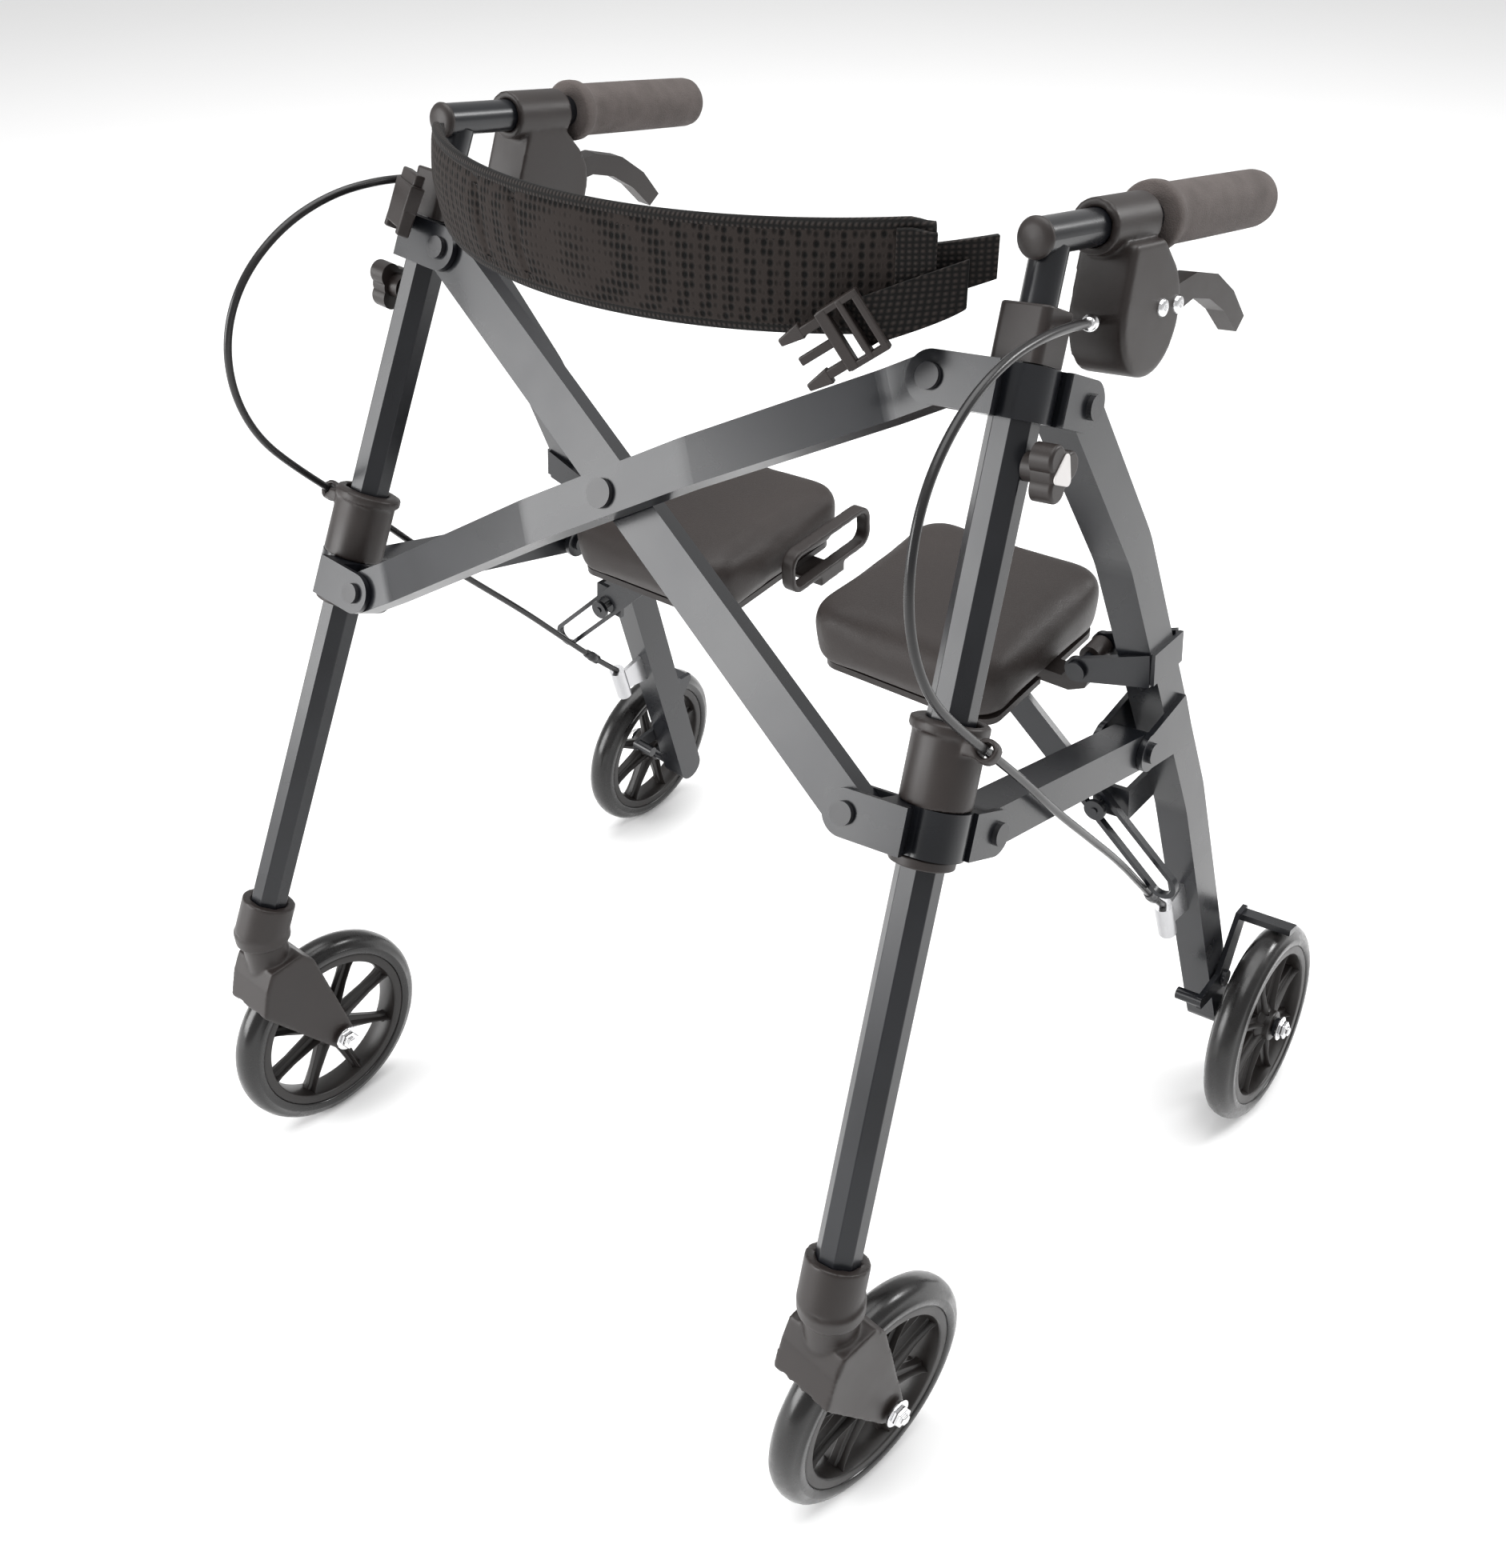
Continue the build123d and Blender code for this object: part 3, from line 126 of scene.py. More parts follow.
def make_camera():
    """Camera at the viewing angle of the reference."""
    data = bpy.data.cameras.new("camera")
    data.sensor_fit = "HORIZONTAL"
    data.sensor_width = CAMERA_SENSOR
    data.lens = CAMERA_LENS
    data.shift_x, data.shift_y = CAMERA_SHIFT
    data.clip_start = CAMERA_NEAR
    back = Vector((
        math.sin(CAMERA_AZIMUTH) * math.cos(CAMERA_ELEVATION),
        -math.cos(CAMERA_AZIMUTH) * math.cos(CAMERA_ELEVATION),
        math.sin(CAMERA_ELEVATION),
    ))
    level = Vector((math.cos(CAMERA_AZIMUTH), math.sin(CAMERA_AZIMUTH), 0))
    upward = back.cross(level)
    right = level * math.cos(CAMERA_ROLL) + upward * math.sin(CAMERA_ROLL)
    top = upward * math.cos(CAMERA_ROLL) - level * math.sin(CAMERA_ROLL)
    camera = bpy.data.objects.new("camera", data)
    bpy.context.scene.collection.objects.link(camera)
    turn = Matrix((right, top, back)).transposed().to_4x4()
    camera.matrix_world = Matrix.Translation(CAMERA_AT) @ turn
    bpy.context.scene.camera = camera


make_camera()


# ---------------------------------------------------------------------------
# Materials
# ---------------------------------------------------------------------------
def shader(name, color, rough, metallic=0.0, coat=0.0, coat_rough=0.1, sheen=0.0, specular=0.4):
    """A Principled material and its node tree."""
    material = bpy.data.materials.new(name)
    material.use_nodes = True
    tree = material.node_tree
    surface = tree.nodes["Principled BSDF"]
    surface.inputs["Base Color"].default_value = (*color, 1)
    surface.inputs["Roughness"].default_value = rough
    surface.inputs["Metallic"].default_value = metallic
    surface.inputs["Coat Weight"].default_value = coat
    surface.inputs["Coat Roughness"].default_value = coat_rough
    surface.inputs["Sheen Weight"].default_value = sheen
    surface.inputs["Specular IOR Level"].default_value = specular
    return material, tree, surface


def position(tree, stretch=(1, 1, 1)):
    """Texture coordinates in metres, stretched."""
    place_node = tree.nodes.new("ShaderNodeTexCoord")
    mapping = tree.nodes.new("ShaderNodeMapping")
    mapping.inputs["Scale"].default_value = stretch
    tree.links.new(place_node.outputs["Object"], mapping.inputs["Vector"])
    return mapping.outputs["Vector"]


def noise_of(tree, vector, scale, detail=4.0, rough=0.55):
    """A noise texture's value."""
    node = tree.nodes.new("ShaderNodeTexNoise")
    node.inputs["Scale"].default_value = scale
    node.inputs["Detail"].default_value = detail
    node.inputs["Roughness"].default_value = rough
    tree.links.new(vector, node.inputs["Vector"])
    return node.outputs["Fac"]


def remap(tree, value, low, high, to_low, to_high):
    """Linear map of a value, clamped."""
    node = tree.nodes.new("ShaderNodeMapRange")
    node.inputs["From Min"].default_value = low
    node.inputs["From Max"].default_value = high
    node.inputs["To Min"].default_value = to_low
    node.inputs["To Max"].default_value = to_high
    tree.links.new(value, node.inputs["Value"])
    return node.outputs["Result"]


def blend_colors(tree, value, first, second):
    """Color from first to second as value goes from 0 to 1."""
    node = tree.nodes.new("ShaderNodeMix")
    node.data_type = "RGBA"
    node.inputs[6].default_value = (*first, 1)
    node.inputs[7].default_value = (*second, 1)
    tree.links.new(value, node.inputs[0])
    return node.outputs[2]


def bump(tree, surface, height, strength, distance):
    """Bump from a height value."""
    node = tree.nodes.new("ShaderNodeBump")
    node.inputs["Strength"].default_value = strength
    node.inputs["Distance"].default_value = distance
    tree.links.new(height, node.inputs["Height"])
    tree.links.new(node.outputs["Normal"], surface.inputs["Normal"])


def paint_material():
    """Dark blue-grey gloss powder coat with a fine orange peel."""
    material, tree, surface = shader(
        "frame_paint", (0.008, 0.009, 0.012), 0.3, metallic=0.1, coat=0.2, coat_rough=0.2, specular=0.38)
    where = position(tree)
    peel = noise_of(tree, where, 900.0, 3.0)
    cloud = noise_of(tree, where, 14.0, 3.0)
    tint = remap(tree, cloud, 0.35, 0.65, 0.0, 1.0)
    color = blend_colors(tree, tint, (0.0050, 0.0055, 0.0072), (0.0085, 0.0093, 0.012))
    tree.links.new(color, surface.inputs["Base Color"])
    tree.links.new(remap(tree, cloud, 0.3, 0.7, 0.24, 0.34), surface.inputs["Roughness"])
    bump(tree, surface, peel, 0.05, 0.0004)
    return material


def plastic_material(name, low, high, rough_low, rough_high, grain=2600.0, strength=0.16):
    """Moulded plastic with a fine spark-eroded grain and faint colour variation."""
    material, tree, surface = shader(name, low, rough_low)
    where = position(tree)
    cloud = noise_of(tree, where, 22.0, 4.0)
    color = blend_colors(tree, remap(tree, cloud, 0.3, 0.7, 0, 1), low, high)
    tree.links.new(color, surface.inputs["Base Color"])
    tree.links.new(remap(tree, cloud, 0.3, 0.7, rough_low, rough_high), surface.inputs["Roughness"])
    bump(tree, surface, noise_of(tree, where, grain, 2.0), strength, 0.0003)
    return material


def foam_material():
    """Closed-cell foam of the grips: pale, matte and finely pored."""
    material, tree, surface = shader("grip_foam", (0.12, 0.11, 0.105), 0.85, sheen=0.05, specular=0.2)
    where = position(tree)
    cell = tree.nodes.new("ShaderNodeTexVoronoi")
    cell.inputs["Scale"].default_value = 1300.0
    tree.links.new(where, cell.inputs["Vector"])
    cloud = noise_of(tree, where, 60.0, 6.0)
    tint = remap(tree, cloud, 0.3, 0.7, 0, 1)
    color = blend_colors(tree, tint, (0.078, 0.066, 0.062), (0.108, 0.092, 0.087))
    tree.links.new(color, surface.inputs["Base Color"])
    bump(tree, surface, cell.outputs["Distance"], 0.55, 0.0006)
    return material


def cushion_material():
    """Self-skinned polyurethane with a soft leather grain."""
    material, tree, surface = shader("seat_skin", (0.055, 0.044, 0.04), 0.5, specular=0.3)
    where = position(tree)
    cell = tree.nodes.new("ShaderNodeTexVoronoi")
    cell.feature = "DISTANCE_TO_EDGE"
    cell.inputs["Scale"].default_value = 620.0
    tree.links.new(where, cell.inputs["Vector"])
    cloud = noise_of(tree, where, 9.0, 5.0)
    tint = remap(tree, cloud, 0.3, 0.7, 0, 1)
    color = blend_colors(tree, tint, (0.022, 0.0172, 0.0158), (0.031, 0.0245, 0.0225))
    tree.links.new(color, surface.inputs["Base Color"])
    tree.links.new(remap(tree, cloud, 0.3, 0.7, 0.42, 0.56), surface.inputs["Roughness"])
    bump(tree, surface, remap(tree, cell.outputs["Distance"], 0.0, 0.12, 0.0, 1.0), 0.22, 0.0004)
    return material


def mesh_fabric_material():
    """Knitted spacer mesh: rows of small open cells with a thread between them; the cells carry painted shade,
    near black.
    """
    material, tree, surface = shader("spacer_mesh", (0.012, 0.01, 0.009), 0.85, sheen=0.02, specular=0.15)
    where = position(tree, (1, 1, 0.8))
    cell = tree.nodes.new("ShaderNodeTexVoronoi")
    cell.feature = "F1"
    cell.inputs["Scale"].default_value = 255.0
    cell.inputs["Randomness"].default_value = 0.12
    tree.links.new(where, cell.inputs["Vector"])
    thread = remap(tree, cell.outputs["Distance"], 0.22, 0.52, 0.0, 1.0)
    # painted shade: near black in the open cells, the thread's own dark colour between them
    color = blend_colors(tree, thread, (0.0008, 0.0007, 0.0006), (0.021, 0.0165, 0.0148))
    tree.links.new(color, surface.inputs["Base Color"])
    bump(tree, surface, thread, 0.9, 0.0009)
    return material


def webbing_material():
    """Woven nylon webbing: two crossing sets of fine threads, with painted shade near black in the gaps between
    them.
    """
    material, tree, surface = shader("webbing", (0.02, 0.016, 0.014), 0.75, sheen=0.03, specular=0.2)
    where = position(tree)
    weft = tree.nodes.new("ShaderNodeTexWave")
    weft.inputs["Scale"].default_value = 120.0
    weft.inputs["Distortion"].default_value = 0.6
    weft.bands_direction = "X"
    warp = tree.nodes.new("ShaderNodeTexWave")
    warp.inputs["Scale"].default_value = 105.0
    warp.bands_direction = "Z"
    tree.links.new(where, weft.inputs["Vector"])
    tree.links.new(where, warp.inputs["Vector"])
    both = tree.nodes.new("ShaderNodeMath")
    both.operation = "MULTIPLY"
    tree.links.new(weft.outputs["Fac"], both.inputs[0])
    tree.links.new(warp.outputs["Fac"], both.inputs[1])
    # painted shade: near black where either set of threads dips, the webbing's own colour on the threads
    color = blend_colors(tree, both.outputs[0], (0.0012, 0.0010, 0.0009), (0.030, 0.0235, 0.0212))
    tree.links.new(color, surface.inputs["Base Color"])
    bump(tree, surface, both.outputs[0], 0.7, 0.0008)
    return material


def rubber_material():
    """Glossy moulded tyre with faint dust."""
    material, tree, surface = shader("tyre_rubber", (0.012, 0.011, 0.011), 0.28, coat=0.25, coat_rough=0.2)
    where = position(tree)
    dust = noise_of(tree, where, 45.0, 8.0, 0.7)
    mask = remap(tree, dust, 0.55, 0.75, 0.0, 1.0)
    color = blend_colors(tree, mask, (0.0045, 0.004, 0.004), (0.012, 0.0105, 0.010))
    tree.links.new(color, surface.inputs["Base Color"])
    tree.links.new(remap(tree, dust, 0.45, 0.75, 0.24, 0.5), surface.inputs["Roughness"])
    bump(tree, surface, noise_of(tree, where, 1500.0, 2.0), 0.06, 0.0003)
    return material


MARK_SCALE = 1200.0


def metal_material(name, color, rough):
    """Bare metal with fine turning marks."""
    material, tree, surface = shader(name, color, rough, 1.0)
    where = position(tree, (1, 1, 6))
    marks = noise_of(tree, where, MARK_SCALE, 2.0)
    tree.links.new(remap(tree, marks, 0.3, 0.7, rough * 0.75, rough * 1.35), surface.inputs["Roughness"])
    bump(tree, surface, marks, 0.05, 0.0002)
    return material


PAINT = paint_material()
PLASTIC = plastic_material("dark_plastic", (0.0150, 0.0112, 0.0102), (0.0225, 0.0172, 0.0158), 0.38, 0.5)
WHEEL = plastic_material("wheel_plastic", (0.0095, 0.008, 0.0075), (0.016, 0.0135, 0.0125), 0.3, 0.44)
PALE = plastic_material("pale_plastic", (0.62, 0.60, 0.59), (0.7, 0.68, 0.67), 0.4, 0.5)
FOAM = foam_material()
SKIN = cushion_material()
MESH = mesh_fabric_material()
WEBBING = webbing_material()
RUBBER = rubber_material()
CHROME = metal_material("chrome_steel", (0.78, 0.78, 0.79), 0.12)
ZINC = metal_material("zinc_steel", (0.5, 0.5, 0.51), 0.3)
BOLT = plastic_material(
    "black_bolts", (0.016, 0.016, 0.018), (0.026, 0.026, 0.028), 0.22, 0.34, grain=1500.0, strength=0.08)
JACKET = plastic_material(
    "cable_jacket", (0.010, 0.010, 0.011), (0.016, 0.015, 0.015), 0.2, 0.32, grain=900.0, strength=0.08)


# ---------------------------------------------------------------------------
# Mesh helpers
# ---------------------------------------------------------------------------
def square_to(direction):
    """Two unit vectors square to a direction and to each other."""
    other = Vector((0, 0, 1)) if abs(direction.z) < 0.9 else Vector((1, 0, 0))
    first = direction.cross(other).normalized()
    return first, direction.cross(first).normalized()


def skin_rings(mesh, rings, loop=False):
    """Quads between closed rings of points, with caps on the ends unless the rings loop."""
    layers = [[mesh.verts.new(point) for point in ring] for ring in rings]
    count = len(layers[0])
    pairs = list(zip(layers, layers[1:]))
    if loop:
        pairs.append((layers[-1], layers[0]))
    for low, high in pairs:
        for i in range(count):
            j = (i + 1) % count
            mesh.faces.new((low[i], low[j], high[j], high[i]))
    if not loop:
        mesh.faces.new(list(reversed(layers[0])))
        mesh.faces.new(layers[-1])


def lathe(mesh, base, direction, profile, segments):
    """Turned solid: profile is (radius, height) pairs in millimetres."""
    first, second = square_to(direction)
    rings = []
    for radius, height in profile:
        ring = []
        for i in range(segments):
            angle = 2 * math.pi * i / segments
            across = first * math.cos(angle) + second * math.sin(angle)
            ring.append(base + (across * radius + direction * height) * MM)
        rings.append(ring)
    skin_rings(mesh, rings)


def ring_lathe(mesh, base, direction, profile, segments):
    """Turned ring with a hole: the profile closes on itself."""
    first, second = square_to(direction)
    rings = []
    for i in range(segments):
        angle = 2 * math.pi * i / segments
        across = first * math.cos(angle) + second * math.sin(angle)
        rings.append([base + (across * r + direction * h) * MM for r, h in profile])
    skin_rings(mesh, rings, loop=True)


def prism(mesh, outline, depth):
    """Solid from an outline of points and a depth vector."""
    low = [mesh.verts.new(point) for point in outline]
    high = [mesh.verts.new(point + depth) for point in outline]
    mesh.faces.new(list(reversed(low)))
    mesh.faces.new(high)
    for i in range(len(outline)):
        j = (i + 1) % len(outline)
        mesh.faces.new((low[i], low[j], high[j], high[i]))


def tube(mesh, points, radius, segments):
    """Round tube along points; radius in millimetres."""
    rings = []
    previous = None
    for i, point in enumerate(points):
        run = (points[min(i + 1, len(points) - 1)] - points[max(i - 1, 0)]).normalized()
        if previous is None:
            first, second = square_to(run)
        else:
            first = (previous - run * previous.dot(run)).normalized()
            second = run.cross(first)
        previous = first
        turns = [2 * math.pi * k / segments for k in range(segments)]
        rings.append([point + (first * math.cos(t) + second * math.sin(t)) * radius * MM for t in turns])
    skin_rings(mesh, rings)


def finish_piece(name, mesh, material, body, hand="r", bevel=0.0, replaces=()):
    """Turns a bmesh into a piece that rides on a body; hand l mirrors it to the left side."""
    if hand == "l":
        bmesh.ops.scale(mesh, vec=(-1, 1, 1), verts=mesh.verts)
    bmesh.ops.recalc_face_normals(mesh, faces=mesh.faces)
    data = bpy.data.meshes.new(name)
    mesh.to_mesh(data)
    mesh.free()
    for polygon in data.polygons:
        polygon.use_smooth = True
    piece = bpy.data.objects.new(name, data)
    bpy.context.scene.collection.objects.link(piece)
    data.materials.append(material)
    if bevel:
        round_edges(piece, bevel)
    if replaces:
        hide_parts(*replaces)
    if body:
        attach(piece, body)
    return piece


SHARP_ANGLE = 35


def round_edges(piece, width, segments=3, angle=SHARP_ANGLE):
    """Small rounded edges, so that they catch the light."""
    rounding = piece.modifiers.new("rounding", "BEVEL")
    rounding.width = width * MM
    rounding.segments = segments
    rounding.limit_method = "ANGLE"
    rounding.angle_limit = math.radians(angle)
    rounding.harden_normals = False
    rounding.use_clamp_overlap = True
    shade(piece)


def shade(piece):
    """Smooth shading with sharp edges kept."""
    data = piece.data
    data.set_sharp_from_angle(angle=math.radians(SHARP_ANGLE))
    for polygon in data.polygons:
        polygon.use_smooth = True


def both_hands(build):
    """Runs a builder for the right and for the left side."""
    for hand in "rl":
        build(hand)


# ---------------------------------------------------------------------------
# CAD nodes that keep their shape: materials, rounded edges and moulded blends
# ---------------------------------------------------------------------------
NODE_MATERIALS = {
    "frame_paint": PAINT, "dark_plastic": PLASTIC, "wheel_plastic": WHEEL, "tyre_rubber": RUBBER,
    "grip_foam": FOAM, "seat_foam": SKIN, "strap_fabric": WEBBING, "black_bolts": BOLT,
    "zinc": ZINC, "chrome_steel": CHROME, "cable_jacket": JACKET,
}
SLOT_OF = {row["node"]: row["material_slot"] for row in frame["record"]["subparts"]}
# voxel size of a moulded node and edge radius of a rounded one, in millimetres
MOULDED = {
    "caster_socket": 1.1, "brake_housing": 1.1, "slider_sleeve": 1.1, "seat_pull": 0.9, "caster_fork": 1.3,
}
ROUNDED = {
    "leg_tube": 0.4, "top_bracket": 0.8, "slider_bracket": 0.8, "side_link": 1.8, "rear_leg": 1.6,
    "bar_a": 1.6, "bar_b": 1.6, "seat_brace": 0.8, "brake_arm": 0.7, "stem_collar": 0.8, "seat_pan": 1.2,
    "handle_tube": 0.4, "cable_adjuster": 0.4,
}


def dress_node(name):
    """Gives a CAD node its material and its edge treatment."""
    node = frame["nodes"][name]
    node.data.materials.clear()
    node.data.materials.append(NODE_MATERIALS[SLOT_OF[name]])
    kind = name[:-2] if name[-2:] in ("_r", "_l") else name
    if kind in MOULDED:
        for polygon in node.data.polygons:
            polygon.use_smooth = True
        remesh = node.modifiers.new("mould", "REMESH")
        remesh.mode = "VOXEL"
        remesh.voxel_size = MOULDED[kind] * MM
        remesh.use_smooth_shade = True
        soften = node.modifiers.new("soften", "SMOOTH")
        soften.factor = 0.5
        soften.iterations = 8
    elif kind in ROUNDED:
        round_edges(node, ROUNDED[kind])
    else:
        shade(node)


for node_name in sorted(frame["nodes"]):
    dress_node(node_name)


# ---------------------------------------------------------------------------
# Brake cables: jacketed tubes along smooth curves, from the housing to the
# guide eye and from the eye to the adjuster. Points are in the side frame.
# ---------------------------------------------------------------------------
CABLE_D = 5.2
UPPER_ROUTE = (
    (5, 12.2, 717), (15, -10, 723), (22, -41, 731), (25, -78, 736), (26, -118, 735), (27, -157, 723),
    (28, -189, 699), (29, -206, 667), (29, -208, 630), (29, -195, 593), (29, -169, 561), (29, -139, 531),
)
LOWER_ROUTE = (
    (29, -138.7, 530.7), (28.5, -104, 496), (27, -62, 450), (25, -14, 402),
    (21, 36, 353), (16, 80, 306), (11, 114, 270), (8, 140, 246),
)
# the routes measure 0.409 and 0.399 metres
CABLE_SEGMENTS = 14


def route_line(route):
    """Points read from the smooth curve that a route controls, for the right-hand side."""
    curve = bpy.data.curves.new("route", "CURVE")
    curve.dimensions = "3D"
    curve.resolution_u = 10
    spline = curve.splines.new("NURBS")
    spline.points.add(len(route) - 1)
    for control, place_at in zip(spline.points, route):
        control.co = (*side(*place_at), 1)
    spline.order_u = 3
    spline.use_endpoint_u = True
    holder = bpy.data.objects.new("route", curve)
    bpy.context.scene.collection.objects.link(holder)
    bpy.context.view_layer.update()
    drawn = bpy.data.meshes.new_from_object(holder)
    line = [vertex.co.copy() for vertex in drawn.vertices]
    bpy.data.objects.remove(holder)
    return line


UPPER_LINE = route_line(UPPER_ROUTE)
LOWER_LINE = route_line(LOWER_ROUTE)


def ferrule(mesh, line, at, radius):
    """Stepped metal sleeve that starts at one point of a line and follows its run there."""
    run = (line[at + 2] - line[at]).normalized()
    lathe(mesh, line[at], run, ((radius - 1.4, -1), (radius, -0.6), (radius, 9), (radius - 0.6, 10),
                                (radius - 0.6, 15), (radius - 1.1, 17), (radius - 1.4, 17.5)), 24)


def build_cable(stretch, line, hand):
    """Jacket of one cable, in place of its CAD tube."""
    mesh = bmesh.new()
    tube(mesh, line, CABLE_D / 2, CABLE_SEGMENTS)
    name = f"brake_cable_{stretch}_{hand}"
    return finish_piece(name, mesh, JACKET, None, hand, replaces=(f"cable_{stretch}_{hand}",))


def build_cables(hand):
    """Upper and lower cable of one side, with their ferrules."""
    upper = build_cable("upper", UPPER_LINE, hand)
    lower = build_cable("lower", LOWER_LINE, hand)
    mesh = bmesh.new()
    ferrule(mesh, UPPER_LINE, 4, 4.6)
    upper_end = finish_piece(f"cable_ferrule_{hand}", mesh, CHROME, f"handle_{hand}", hand)
    mesh = bmesh.new()
    ferrule(mesh, LOWER_LINE[::-1], 6, 4.4)
    lower_end = finish_piece(f"cable_end_{hand}", mesh, BOLT, f"rear_leg_{hand}", hand)
    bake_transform(upper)
    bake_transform(lower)


both_hands(build_cables)

# ---------------------------------------------------------------------------
# Wheels: tyre, rim, ribbed spokes and hub, built at each wheel's own axle
# ---------------------------------------------------------------------------
TYRE = (
    (69, -11.2), (70, -12.2), (74.5, -12.5), (75.6, -12.1), (76, -11.4), (79.5, -10.4), (82.6, -7.8),
    (84.3, -4.4), (85, 0), (84.3, 4.4), (82.6, 7.8), (79.5, 10.4), (76, 11.4), (75.6, 12.1),
    (74.5, 12.5), (70, 12.2), (69, 11.2),
)
RIM = (
    (61, -8.5), (61.6, -10.4), (62.4, -11), (67.8, -11.3), (69.2, -10.6), (69.2, 10.6),
    (67.8, 11.3), (62.4, 11), (61.6, 10.4), (61, 8.5), (60, 3), (60, -3),
)
HUB = (
    (5.4, -13.6), (11.6, -13.6), (12.6, -12.8), (13.2, -8), (17, -5.5), (18, -4),
    (18, 4), (17, 5.5), (13.2, 8), (12.6, 12.8), (11.6, 13.6), (5.4, 13.6),
)
SPOKE_SECTION = (
    (0.0, 1.0), (0.22, 0.82), (0.34, 0.42), (1.0, 0.3), (1.0, -0.3), (0.34, -0.42), (0.22, -0.82),
    (0.0, -1.0), (-0.22, -0.82), (-0.34, -0.42), (-1.0, -0.3), (-1.0, 0.3), (-0.34, 0.42), (-0.22, 0.82),
)
SPOKES = 8
SPOKE_TURN = 0.35
WHEEL_SEGMENTS = 112
# distance from the axle, half width and half height of a spoke
SPOKE_STEPS = ((12, 6.8, 10.5), (22, 6.0, 9.0), (42, 4.6, 7.6), (56, 3.8, 8.2), (62, 5.2, 9.4))


def spoke(mesh, centre, out, angle):
    """One tapered spoke: a flat web with a tall ridge along its middle."""
    first, second = square_to(out)
    along = first * math.cos(angle) + second * math.sin(angle)
    across = out.cross(along)
    rings = []
    for reach, half, high in SPOKE_STEPS:
        middle = centre + along * reach * MM
        rings.append([middle + (across * half * x + out * high * y) * MM for x, y in SPOKE_SECTION])
    skin_rings(mesh, rings)


def build_wheel(end, hand):
    """Wheel of one corner, with the pieces that turn with it."""
    joint = f"{end}_wheel_{hand}_spin"
    centre, out = place(joint), axis(joint)
    body = f"{end}_wheel_{hand}"
    mesh = bmesh.new()
    ring_lathe(mesh, centre, out, TYRE, WHEEL_SEGMENTS)
    finish_piece(f"{end}_tyre_shell_{hand}", mesh, RUBBER, body, replaces=(f"{end}_tyre_{hand}",))
    mesh = bmesh.new()
    ring_lathe(mesh, centre, out, RIM, WHEEL_SEGMENTS)
    ring_lathe(mesh, centre, out, HUB, 48)
    for i in range(SPOKES):
        spoke(mesh, centre, out, 2 * math.pi * (i + SPOKE_TURN) / SPOKES)
    rim = finish_piece(f"{end}_rim_{hand}", mesh, WHEEL, body, replaces=(f"{end}_hub_{hand}",))
    round_edges(rim, 0.5, 2, 28)


def nut(mesh, base, out, across_flats=13, height=6, thread=4.2):
    """Nut with a washer under it and the end of its bolt above."""
    washer = across_flats * 0.78
    lathe(mesh, base, out, ((0.5, -0.2), (washer, -0.2), (washer, 1.2), (0.5, 1.2)), 36)
    reach = across_flats / math.sqrt(3)
    lathe(mesh, base, out, ((0.5, 1.2), (reach * 0.94, 1.2), (reach, 1.9), (reach, height - 0.8),
                            (reach * 0.92, height), (thread, height), (thread, height + 1.6),
                            (thread - 1, height + 2.4), (0.5, height + 2.4)), 6)


# distance of an axle's nut from the middle of its wheel
WASHER_REACH = {"front": 26.3, "rear": 18.0}


def build_axle_nuts(end, hand):
    """Bright nuts on an axle, on the part that carries the wheel."""
    joint = f"{end}_wheel_{hand}_spin"
    centre, out = place(joint), axis(joint)
    if out.x < 0:
        out = -out
    outboard = 1 if hand == "r" else -1
    body = f"caster_{hand}" if end == "front" else f"rear_leg_{hand}"
    faces = (1, -1) if end == "front" else (outboard,)
    for index, face in enumerate(faces):
        mesh = bmesh.new()
        nut(mesh, centre + out * face * WASHER_REACH[end] * MM, out * face)
        finish_piece(f"{end}_axle_nut_{hand}_{index}", mesh, CHROME, body, bevel=0.25)


for corner in ("front", "rear"):
    for hand_of in "rl":
        build_wheel(corner, hand_of)
        build_axle_nuts(corner, hand_of)

# ---------------------------------------------------------------------------
# Seat cushions: integral-skin foam, stretched a little by its own pressure
# ---------------------------------------------------------------------------
HINGE = place("seat_r_lift")
HINGE_AT = 216.0
CUSHION_X = (38.0, 190.0)
CUSHION_HALF = 80.0
CUSHION_LOW = -22.0
CUSHION_CORNER = 22
SEAT_OUT = Vector((1, 0, 0))


def seat(x, high, along):
    """Point of the right seat half: x from the walker's middle, then height and depth from the hinge."""
    return HINGE + (SEAT_OUT * (x - HINGE_AT) + SEAT_UP * high + SEAT_BACK * along) * MM


def rounded_outline(half_x, half_y, radius, steps=9):
    """Rounded rectangle as (x, y) pairs, counter-clockwise."""
    points = []
    for corner_x, corner_y, start in ((1, 1, 0), (-1, 1, 90), (-1, -1, 180), (1, -1, 270)):
        for i in range(steps):
            angle = math.radians(start + 90 * i / (steps - 1))
            x = corner_x * (half_x - radius) + radius * math.cos(angle)
            y = corner_y * (half_y - radius) + radius * math.sin(angle)
            points.append((x, y))
    return points


# inset from the full outline and height above the bottom, for each ring of the cushion's side
CUSHION_RINGS = (
    (34, 0.0), (12, 0.0), (5.0, 0.6), (2.6, 3.0), (1.4, 10), (0.4, 22), (0.0, 30), (0.5, 34.5),
    (2.2, 38.8), (5.2, 42.4), (9.6, 44.6), (16, 45.4), (30, 45.9), (50, 46.0),
)
# largest move in millimetres, voxel size in metres, pressure and number of cloth steps
SWELL_CAP = 1.6
SWELL_VOXEL = 0.0036
SWELL_PRESSURE = 4.0
SWELL_STEPS = 10


